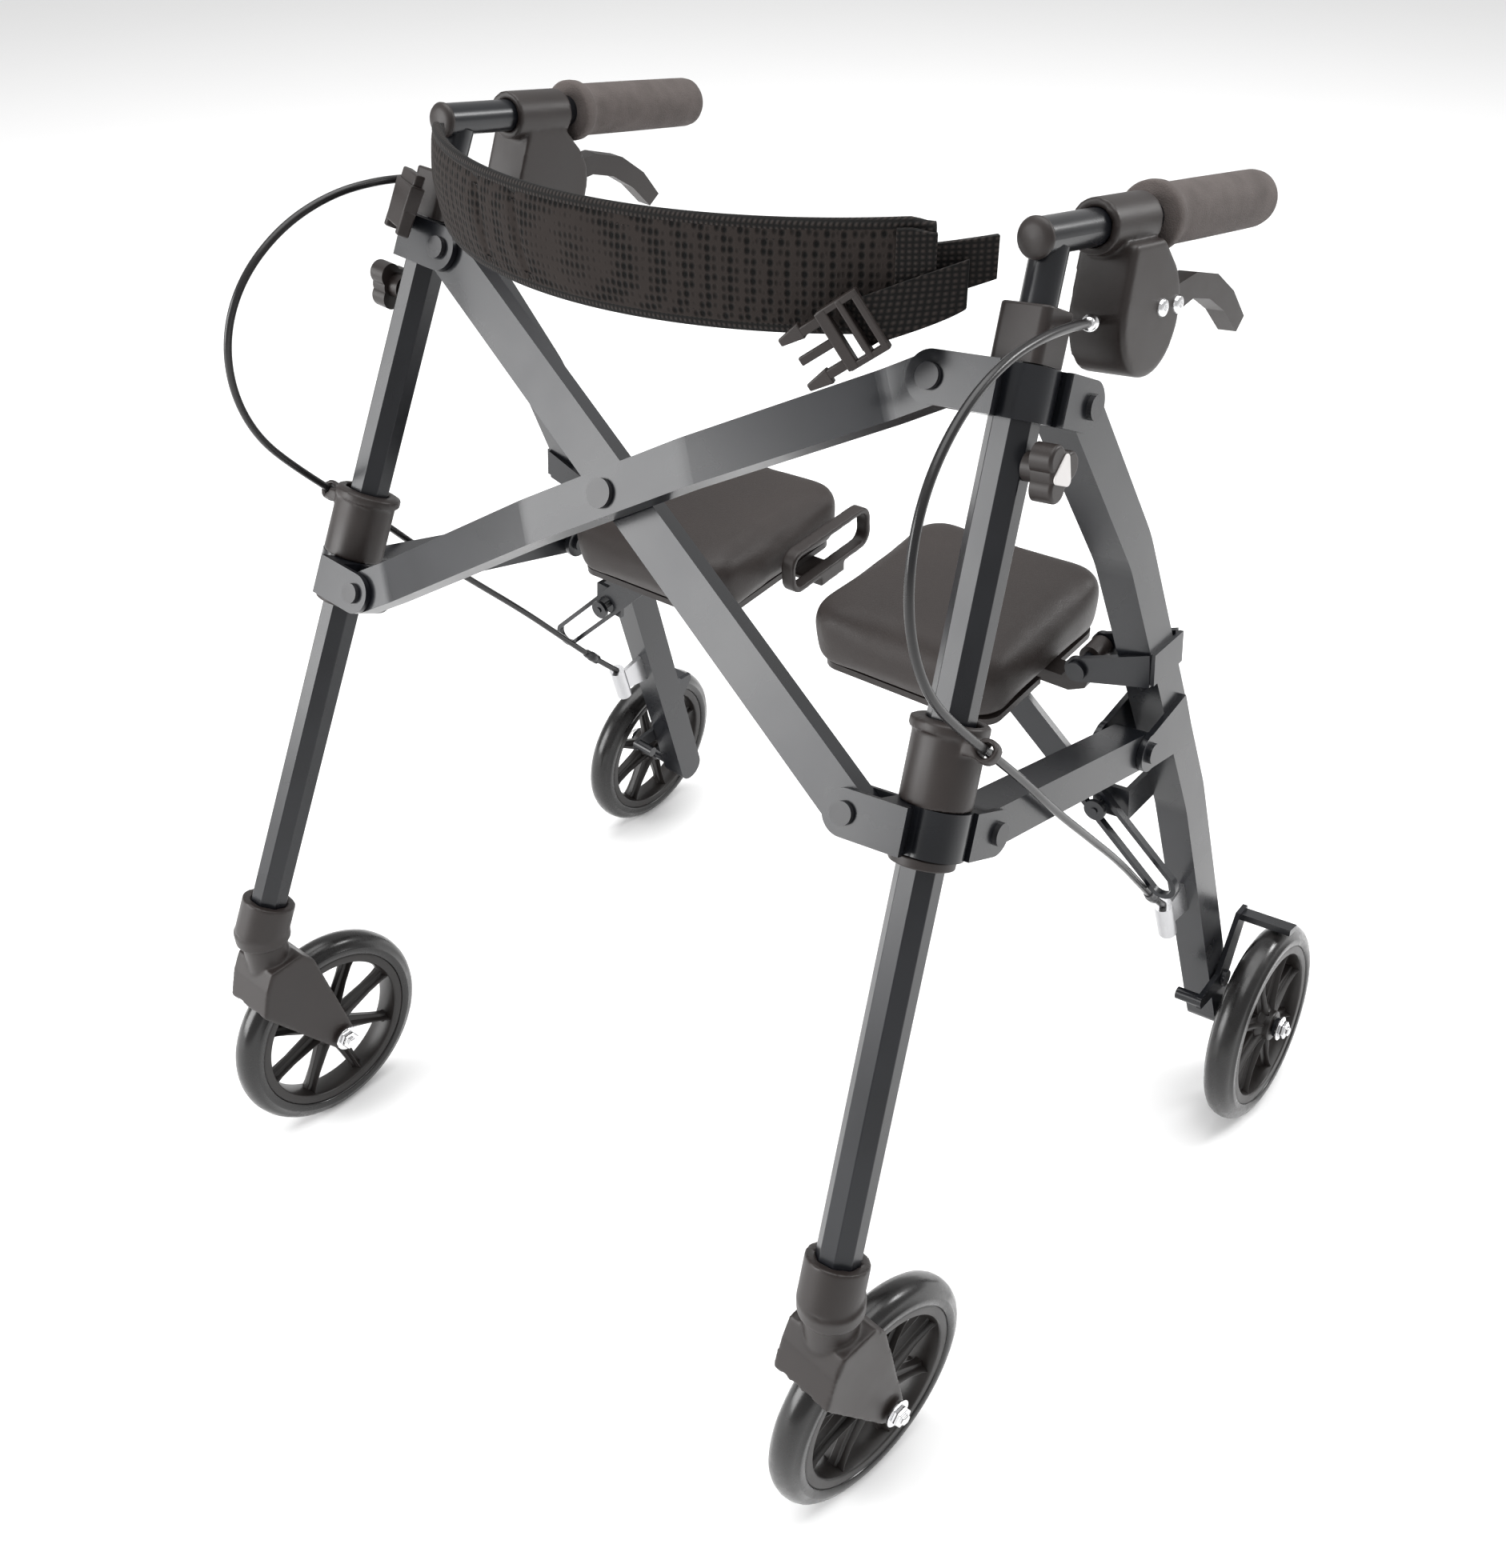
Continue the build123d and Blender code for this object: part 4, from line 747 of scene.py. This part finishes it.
def build_cushion(hand):
    """One seat half."""
    mesh = bmesh.new()
    half_x = (CUSHION_X[1] - CUSHION_X[0]) / 2
    middle = (CUSHION_X[0] + CUSHION_X[1]) / 2
    rings = []
    for inset, height in CUSHION_RINGS:
        radius = max(CUSHION_CORNER - inset * 0.5, 4)
        outline = rounded_outline(half_x - inset, CUSHION_HALF - inset, radius)
        rings.append([seat(middle + x, CUSHION_LOW + height, y) for x, y in outline])
    skin_rings(mesh, rings)
    cushion = finish_piece(f"seat_pad_{hand}", mesh, SKIN, None, hand, replaces=(f"cushion_{hand}",))
    swell(cushion)
    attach(cushion, f"seat_{hand}")


def apply_modifiers(piece):
    """Bakes the piece's modifiers into its mesh."""
    ready = piece.evaluated_get(bpy.context.evaluated_depsgraph_get())
    baked = bpy.data.meshes.new_from_object(ready)
    piece.modifiers.clear()
    piece.data = baked


def swell(piece):
    """Inflates a closed pad a little with cloth pressure, so that its faces crown and its sides belly."""
    fine = piece.modifiers.new("even", "REMESH")
    fine.mode = "VOXEL"
    fine.voxel_size = SWELL_VOXEL
    apply_modifiers(piece)
    start = [vertex.co.copy() for vertex in piece.data.vertices]
    cloth = piece.modifiers.new("swell", "CLOTH")
    cloth.settings.use_pressure = True
    cloth.settings.uniform_pressure_force = SWELL_PRESSURE
    cloth.settings.effector_weights.gravity = 0.0
    scene = bpy.context.scene
    for step in range(1, SWELL_STEPS + 1):
        scene.frame_set(step)
    apply_modifiers(piece)
    scene.frame_set(1)
    for vertex, rest in zip(piece.data.vertices, start):
        move = vertex.co - rest
        if move.length > SWELL_CAP * MM:
            vertex.co = rest + move.normalized() * SWELL_CAP * MM
    soften = piece.modifiers.new("soften", "SMOOTH")
    soften.iterations = 6
    finer = piece.modifiers.new("finer", "SUBSURF")
    finer.levels = 1
    finer.render_levels = 1
    apply_modifiers(piece)
    for polygon in piece.data.polygons:
        polygon.use_smooth = True


both_hands(build_cushion)

# ---------------------------------------------------------------------------
# Grips, handle plugs, knobs, screws and the rest of the moulded details
# ---------------------------------------------------------------------------
GRIP = (
    (10.5, 0), (18.3, 0.2), (19.6, 1.4), (19.8, 5), (19.4, 9), (18.2, 11.4), (17.2, 14), (17, 20),
    (17.1, 60), (17, 118), (16.9, 130), (16.2, 134.5), (14.2, 137.6), (11, 138.8), (6, 139), (0.4, 139),
)
GRIP_AT = 118.0
PLUG = ((0.4, -4), (9, -4), (9.2, 0), (10.6, 0), (10.8, 1.6), (9.6, 3.4), (6, 4.6), (0.4, 5))


def build_grip(hand):
    """Foam grip with a collar at its front end."""
    mesh = bmesh.new()
    lathe(mesh, handle(GRIP_AT), HANDLE_RUN, GRIP, 56)
    grip = finish_piece(f"hand_grip_{hand}", mesh, FOAM, None, hand, replaces=(f"grip_{hand}",))
    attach(grip, f"handle_{hand}")


def build_handle_plug(hand):
    """Domed plug in the front end of the handle tube."""
    mesh = bmesh.new()
    lathe(mesh, handle(1), -HANDLE_RUN, PLUG, 40)
    finish_piece(f"handle_plug_{hand}", mesh, PLASTIC, f"handle_{hand}", hand)


def socket_screw(mesh, base, out, radius, height=2.4):
    """Button head with a hexagon socket."""
    lathe(mesh, base, out, ((0.3, -1), (radius, -1), (radius, height * 0.35), (radius * 0.86, height * 0.8),
                            (radius * 0.55, height), (radius * 0.42, height)), 28)
    lathe(mesh, base, out, ((radius * 0.42, height), (radius * 0.4, height * 0.2), (0.3, height * 0.15)), 6)


# places of the screws in the side frame
HOUSING_SCREWS = ((22, 57, 714), (22, 76, 711))
CLAMP_SCREW = (11.5, 22, 769)


def build_screws(hand):
    """Bright screws on the brake housing."""
    mesh = bmesh.new()
    for screw in HOUSING_SCREWS:
        socket_screw(mesh, side(*screw), OUT, 5.2)
    socket_screw(mesh, side(*CLAMP_SCREW), (OUT + UPRIGHT * 0.55).normalized(), 4.6, 3)
    finish_piece(f"housing_screws_{hand}", mesh, CHROME, f"handle_{hand}", hand, bevel=0.15)


# corners of the triangle, their scale and rounding, its place out from the knob and its thickness
KNOB_FACE = ((0, 9.6), (-8.6, -5.6), (8.6, -5.6))
KNOB_FACE_SCALE = 0.7
KNOB_FACE_ROUND = 3
KNOB_FACE_OUT = 20.9
KNOB_FACE_T = 1.1


def build_knob_face(hand):
    """Pale rounded triangle let into the height knob's face."""
    mesh = bmesh.new()
    base = leg(KNOB_X + KNOB_FACE_OUT, 0, KNOB_V)
    outline = []
    for i, (x, y) in enumerate(KNOB_FACE):
        for j in range(7):
            angle = math.radians(90 + 120 * i - 60 + 120 * j / 6)
            rear = x * KNOB_FACE_SCALE + KNOB_FACE_ROUND * math.cos(angle)
            up = y * KNOB_FACE_SCALE + KNOB_FACE_ROUND * math.sin(angle)
            outline.append(base + (LEG_BACK * rear + LEG_UP * up) * MM)
    prism(mesh, outline, OUT * KNOB_FACE_T * MM)
    finish_piece(f"knob_face_{hand}", mesh, PALE, f"knob_{hand}", hand, bevel=0.5)


BUSH = ((14.4, 0), (18.6, 0), (19.2, 0.6), (19.2, 5.4), (18.2, 6), (14.4, 6))
BUSH_AT = 262


def build_slider_bush(hand):
    """Plastic bush round the leg, at the bottom of the slider."""
    mesh = bmesh.new()
    ring_lathe(mesh, leg(0, 0, BUSH_AT), LEG_UP, BUSH, 48)
    finish_piece(f"slider_bush_{hand}", mesh, PLASTIC, f"slider_{hand}", hand, bevel=0.4)


both_hands(build_grip)
both_hands(build_handle_plug)
both_hands(build_screws)
both_hands(build_knob_face)
both_hands(build_slider_bush)

# ---------------------------------------------------------------------------
# Back strap: a padded mesh band with bound edges, webbing ends and a buckle
# ---------------------------------------------------------------------------
BAND_END = Vector((205.0, -55.0))
BAND_MID_Y = -150.0
BAND_Z = (722.0, 783.0)
BAND_HALF_T = 4.0
BAND_STEPS = 96
PAD_SPAN = 0.86
CREASES = (-0.34, -0.17)
CREASE_SLANT = 0.05
CREASE_CUT = 0.45
CREASE_WIDTH = 0.012
ROWS = 20
BINDING_SIDES = 14
STITCHES = 110
STITCH_INSET = 7.4
WEBBING_T = 3.4
WEBBING_STEPS = 14
WEBBING_OVERLAP = 0.06


def band_arc():
    """Centre and radius of the circle that the band follows, in millimetres, seen from above."""
    drop = BAND_END.y - BAND_MID_Y
    radius = (BAND_END.x ** 2 + drop ** 2) / (2 * drop)
    return Vector((0, BAND_MID_Y + radius)), radius


BAND_CENTRE, BAND_RADIUS = band_arc()
BAND_SWEEP = math.asin(BAND_END.x / BAND_RADIUS)


def band(share, outward, height):
    """Point of the band: share runs from -1 (left) to 1 (right), outward is away from its centre."""
    angle = share * BAND_SWEEP
    reach = BAND_RADIUS + outward
    x = BAND_CENTRE.x + reach * math.sin(angle)
    y = BAND_CENTRE.y - reach * math.cos(angle)
    return Vector((x, y, height)) * MM


def smoothstep(low, high, value):
    """Smooth step from 0 at low to 1 at high."""
    t = min(max((value - low) / (high - low), 0), 1)
    return t * t * (3 - 2 * t)


def band_edges(share):
    """Bottom and top edge heights of the padded band."""
    narrow = smoothstep(0.93, 1.0, abs(share / PAD_SPAN))
    low = BAND_Z[0] + 3 + 5 * narrow + 2.5 * abs(share) ** 2
    high = BAND_Z[1] - 2 - 3 * narrow - 3 * (1 - abs(share) ** 2)
    return low, high


def crease_depth(share, t):
    """How much of its thickness the pad keeps near a crease; t runs from its bottom to its top."""
    keep = 1.0
    for crease in CREASES:
        away = share - crease + CREASE_SLANT * (t - 0.5)
        keep *= 1 - CREASE_CUT * math.exp(-(away / CREASE_WIDTH) ** 2)
    return keep


def build_pad():
    """Padded part of the strap."""
    mesh = bmesh.new()
    shares = [PAD_SPAN * (2 * i / (BAND_STEPS * 2) - 1) for i in range(BAND_STEPS * 2 + 1)]
    rings = []
    for share in shares:
        low, high = band_edges(share)
        ends = 1 - smoothstep(0.965, 1.0, abs(share / PAD_SPAN)) * 0.75
        ring = []
        for face in (1, -1):
            for j in range(ROWS + 1):
                t = j / ROWS if face == 1 else 1 - j / ROWS
                crown = math.sin(math.pi * t) ** 0.42
                crumple = noise.noise(Vector((share * 9, t * 2.2, face * 3.1))) * 0.9
                padding = BAND_HALF_T * 1.2 * crown * crease_depth(share, t)
                thick = (0.9 + padding + crumple * crown) * ends
                ring.append(band(share, face * max(thick, 0.5), low + (high - low) * t))
        rings.append(ring)
    skin_rings(mesh, rings)
    return finish_piece("strap_pad", mesh, MESH, None, replaces=("backrest",))


def build_binding(name, upper):
    """Folded tape sewn over one long edge of the pad."""
    mesh = bmesh.new()
    rings = []
    for i in range(BAND_STEPS + 1):
        share = PAD_SPAN * (2 * i / BAND_STEPS - 1)
        low, high = band_edges(share)
        height = high - 3 if upper else low + 3
        flip = 1 if upper else -1
        ring = []
        for k in range(BINDING_SIDES):
            angle = 2 * math.pi * k / BINDING_SIDES
            ring.append(band(share, 3.1 * math.cos(angle), height + flip * 1.2 + 4.6 * math.sin(angle)))
        rings.append(ring)
    skin_rings(mesh, rings)
    return finish_piece(name, mesh, WEBBING, None)


def build_stitches(name, upper):
    """Running stitches along a binding, on the outer face."""
    mesh = bmesh.new()
    half = PAD_SPAN / STITCHES * 0.62
    for i in range(STITCHES):
        middle = PAD_SPAN * (2 * (i + 0.5) / STITCHES - 1) * 0.985
        low, high = band_edges(middle)
        height = high - STITCH_INSET if upper else low + STITCH_INSET
        points = [band(middle + half * t, 3.35 + 0.45 * (1 - t * t), height) for t in (-1, -0.5, 0, 0.5, 1)]
        tube(mesh, points, 0.42, 6)
    return finish_piece(name, mesh, WEBBING, None)


def ribbon(mesh, line, heights, thickness):
    """Flat tape on edge along (x, y) pairs; heights gives its bottom and top at a share of its run."""
    rings = []
    count = len(line)
    for i, here in enumerate(line):
        run = (line[min(i + 1, count - 1)] - line[max(i - 1, 0)]).normalized()
        across = Vector((run.y, -run.x)) * thickness / 2
        low, high = heights(i / (count - 1))
        front, rear = here + across, here - across
        rings.append([
            Vector((front.x, front.y, low)) * MM, Vector((front.x, front.y, high)) * MM,
            Vector((rear.x, rear.y, high)) * MM, Vector((rear.x, rear.y, low)) * MM,
        ])
    skin_rings(mesh, rings)


def flat_band(share):
    """Plan position of the band's middle line."""
    point = band(share, 0, 0) / MM
    return Vector((point.x, point.y))


def build_webbing_end(side_of):
    """Flat webbing from the pad's end up to the handle."""
    mesh = bmesh.new()
    run = 1.0 - PAD_SPAN + WEBBING_OVERLAP
    line = [
        flat_band(side_of * (PAD_SPAN - WEBBING_OVERLAP + run * i / WEBBING_STEPS))
        for i in range(WEBBING_STEPS + 1)
    ]
    ribbon(mesh, line, lambda t: (738 + 12 * t, 768 + 4 * t), WEBBING_T)
    name = "strap_end_r" if side_of > 0 else "strap_end_l"
    return finish_piece(name, mesh, WEBBING, None, bevel=0.4)


def box_solid(mesh, centre, axes, halves, taper=1.0):
    """Box with axes and half sizes in millimetres; the far end along the first axis may taper."""
    first, second, third = axes
    rings = []
    for end in (-1, 1):
        shrink = 1.0 if end < 0 else taper
        ring = []
        for b, c in ((-1, -1), (1, -1), (1, 1), (-1, 1)):
            ring.append(centre + (first * end * halves[0] + second * b * halves[1] * shrink
                                  + third * c * halves[2] * shrink) * MM)
        rings.append(ring)
    skin_rings(mesh, rings)


BUCKLE_AT = Vector((0.157, -0.118, 0.7285))
BUCKLE_RUN = Vector((-0.74, -0.36, -0.57)).normalized()
# places along and across the buckle, and half sizes along, through and across it
BUCKLE_BARS = (
    (-15, 0, (2.0, 2.6, 17)), (-6, 0, (1.8, 3.0, 17)), (5, 0, (3.2, 3.0, 17)),
    (-5, 15.6, (12, 2.8, 1.8)), (-5, -15.6, (12, 2.8, 1.8)), (17, 0, (11, 1.6, 2.4)),
)
# the same for the two steps of a prong, and how much the far end narrows
BUCKLE_PRONG = ((13, 12.8, (7, 2.4, 2.6), 1.0), (25, 13.6, (7, 2.6, 4.4), 0.45))
BUCKLE_TAPE_HALF = 12.5
SOCKET_AT = Vector((-0.214, -0.086, 0.727))
SOCKET_RUN = Vector((-0.18, -0.42, -0.9)).normalized()
SOCKET_WIDE = Vector((0.9, -0.42, 0)).normalized()


def buckle_axes():
    """Along the prongs, through the thickness and across the width."""
    across = Vector((-0.55, -0.22, 0.8))
    across = (across - BUCKLE_RUN * across.dot(BUCKLE_RUN)).normalized()
    return BUCKLE_RUN, BUCKLE_RUN.cross(across), across


def buckle_point(along, sideways):
    """Point of the buckle given along and across it, in millimetres."""
    run, _, across = buckle_axes()
    return BUCKLE_AT + (run * along + across * sideways) * MM


def build_buckle_male():
    """Loose half of the side-release buckle, hanging from the right end by its webbing."""
    mesh = bmesh.new()
    for along, across, halves in BUCKLE_BARS:
        box_solid(mesh, buckle_point(along, across), buckle_axes(), halves)
    for hand in (-1, 1):
        for along, across, halves, taper in BUCKLE_PRONG:
            box_solid(mesh, buckle_point(along, hand * across), buckle_axes(), halves, taper)
    return finish_piece("buckle_prongs", mesh, PLASTIC, None, bevel=0.8, replaces=("buckle_male",))


def build_buckle_strap():
    """Webbing from the right end of the strap down to the buckle, with a second layer over its bars."""
    mesh = bmesh.new()
    run, through, across = buckle_axes()
    start = band(0.93, 6.5, 750)
    middle = band(0.87, 8.5, 745)
    finish = BUCKLE_AT - run * 14 * MM
    rings = []
    for i in range(17):
        t = i / 16
        here = start * (1 - t) ** 2 + middle * 2 * t * (1 - t) + finish * t * t
        lean = (Vector((0, 0, 1)) * (1 - t) + across * t).normalized() * BUCKLE_TAPE_HALF * MM
        thick = through.normalized() * 1.3 * MM
        rings.append([here - lean - thick, here + lean - thick, here + lean + thick, here - lean + thick])
    skin_rings(mesh, rings)
    rings = []
    for i in range(8):
        here = BUCKLE_AT - run * (16 - 2 * i) * MM
        half = across * BUCKLE_TAPE_HALF * MM
        rings.append([here - half + through * k * MM for k in (3.1, 5)]
                     + [here + half + through * k * MM for k in (5, 3.1)])
    skin_rings(mesh, rings)
    return finish_piece("buckle_webbing", mesh, WEBBING, None, bevel=0.3)


def build_end_patch():
    """Upright tape over the right end of the pad."""
    mesh = bmesh.new()
    rings = []
    for i in range(9):
        share = PAD_SPAN * (0.9 + 0.1 * i / 8)
        low, high = band_edges(share)
        rings.append([band(share, 5.4, low + 1), band(share, 6.8, low + 2), band(share, 6.8, high - 2),
                      band(share, 5.4, high - 1)])
    skin_rings(mesh, rings)
    return finish_piece("strap_patch", mesh, WEBBING, None, bevel=0.3)


def build_buckle_female():
    """Socket half of the buckle, hanging at the left end."""
    mesh = bmesh.new()
    run = SOCKET_RUN
    wide = (SOCKET_WIDE - run * SOCKET_WIDE.dot(run)).normalized()
    axes = (run, run.cross(wide), wide)
    box_solid(mesh, SOCKET_AT, axes, (14, 5, 16), 0.86)
    box_solid(mesh, SOCKET_AT - run * 17 * MM, axes, (4, 3.4, 14))
    for edge in (-1, 1):
        box_solid(mesh, SOCKET_AT + (run * 10 + wide * edge * 12.5) * MM, axes, (8, 4.2, 2.6))
    return finish_piece("buckle_socket", mesh, PLASTIC, None, bevel=1.2)


def build_back_strap():
    """The whole strap; it rides on the left handle as the walker folds."""
    pad = build_pad()
    bindings = [build_binding("strap_binding_top", True), build_binding("strap_binding_low", False)]
    stitches = [build_stitches("strap_stitches_top", True), build_stitches("strap_stitches_low", False)]
    ends = [build_webbing_end(1), build_webbing_end(-1), build_buckle_strap(), build_end_patch()]
    hardware = [build_buckle_male(), build_buckle_female()]
    for piece in [pad, *bindings, *stitches, *ends, *hardware]:
        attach(piece, "handle_l")
    for piece in [pad, *bindings, *stitches, *ends, hardware[0]]:
        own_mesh(piece)


build_back_strap()


# ---------------------------------------------------------------------------
# Floor and light
# ---------------------------------------------------------------------------
WORLD_STRENGTH = 0.6
# name, place, target, size in metres and power in watts of each light
SOFTBOXES = (
    ("key", (-1.7, -2.5, 1.15), (0, -0.1, 0.45), 1.7, 75),
    ("rim", (1.6, 2.2, 1.9), (0, 0, 0.5), 0.7, 30),
    ("top", (0.0, 0.3, 4.5), (0, 0, 0.4), 4.5, 210),
)


def build_floor():
    """Wide pale floor."""
    material, tree, surface = shader("floor", (0.9, 0.9, 0.9), 0.9)
    cloud = noise_of(tree, position(tree), 1.5, 2.0)
    color = blend_colors(tree, cloud, (0.985, 0.985, 0.985), (1.0, 1.0, 1.0))
    tree.links.new(color, surface.inputs["Base Color"])
    mesh = bmesh.new()
    bmesh.ops.create_grid(mesh, x_segments=2, y_segments=2, size=30)
    data = bpy.data.meshes.new("floor")
    mesh.to_mesh(data)
    mesh.free()
    data.materials.append(material)
    floor = bpy.data.objects.new("floor", data)
    bpy.context.scene.collection.objects.link(floor)


def softbox(name, at, target, size, power):
    """Square white area light aimed at a point."""
    data = bpy.data.lights.new(name, "AREA")
    data.size = size
    data.energy = power
    light = bpy.data.objects.new(name, data)
    light.location = at
    light.rotation_euler = (Vector(target) - Vector(at)).to_track_quat("-Z", "Y").to_euler()
    bpy.context.scene.collection.objects.link(light)


def build_world():
    """Even white surroundings, shown with the Standard view transform."""
    world = bpy.data.worlds.new("studio")
    world.use_nodes = True
    world.node_tree.nodes["Background"].inputs["Color"].default_value = (1, 1, 1, 1)
    world.node_tree.nodes["Background"].inputs["Strength"].default_value = WORLD_STRENGTH
    bpy.context.scene.world = world
    bpy.context.scene.view_settings.view_transform = "Standard"


build_floor()
build_world()
for softbox_row in SOFTBOXES:
    softbox(*softbox_row)
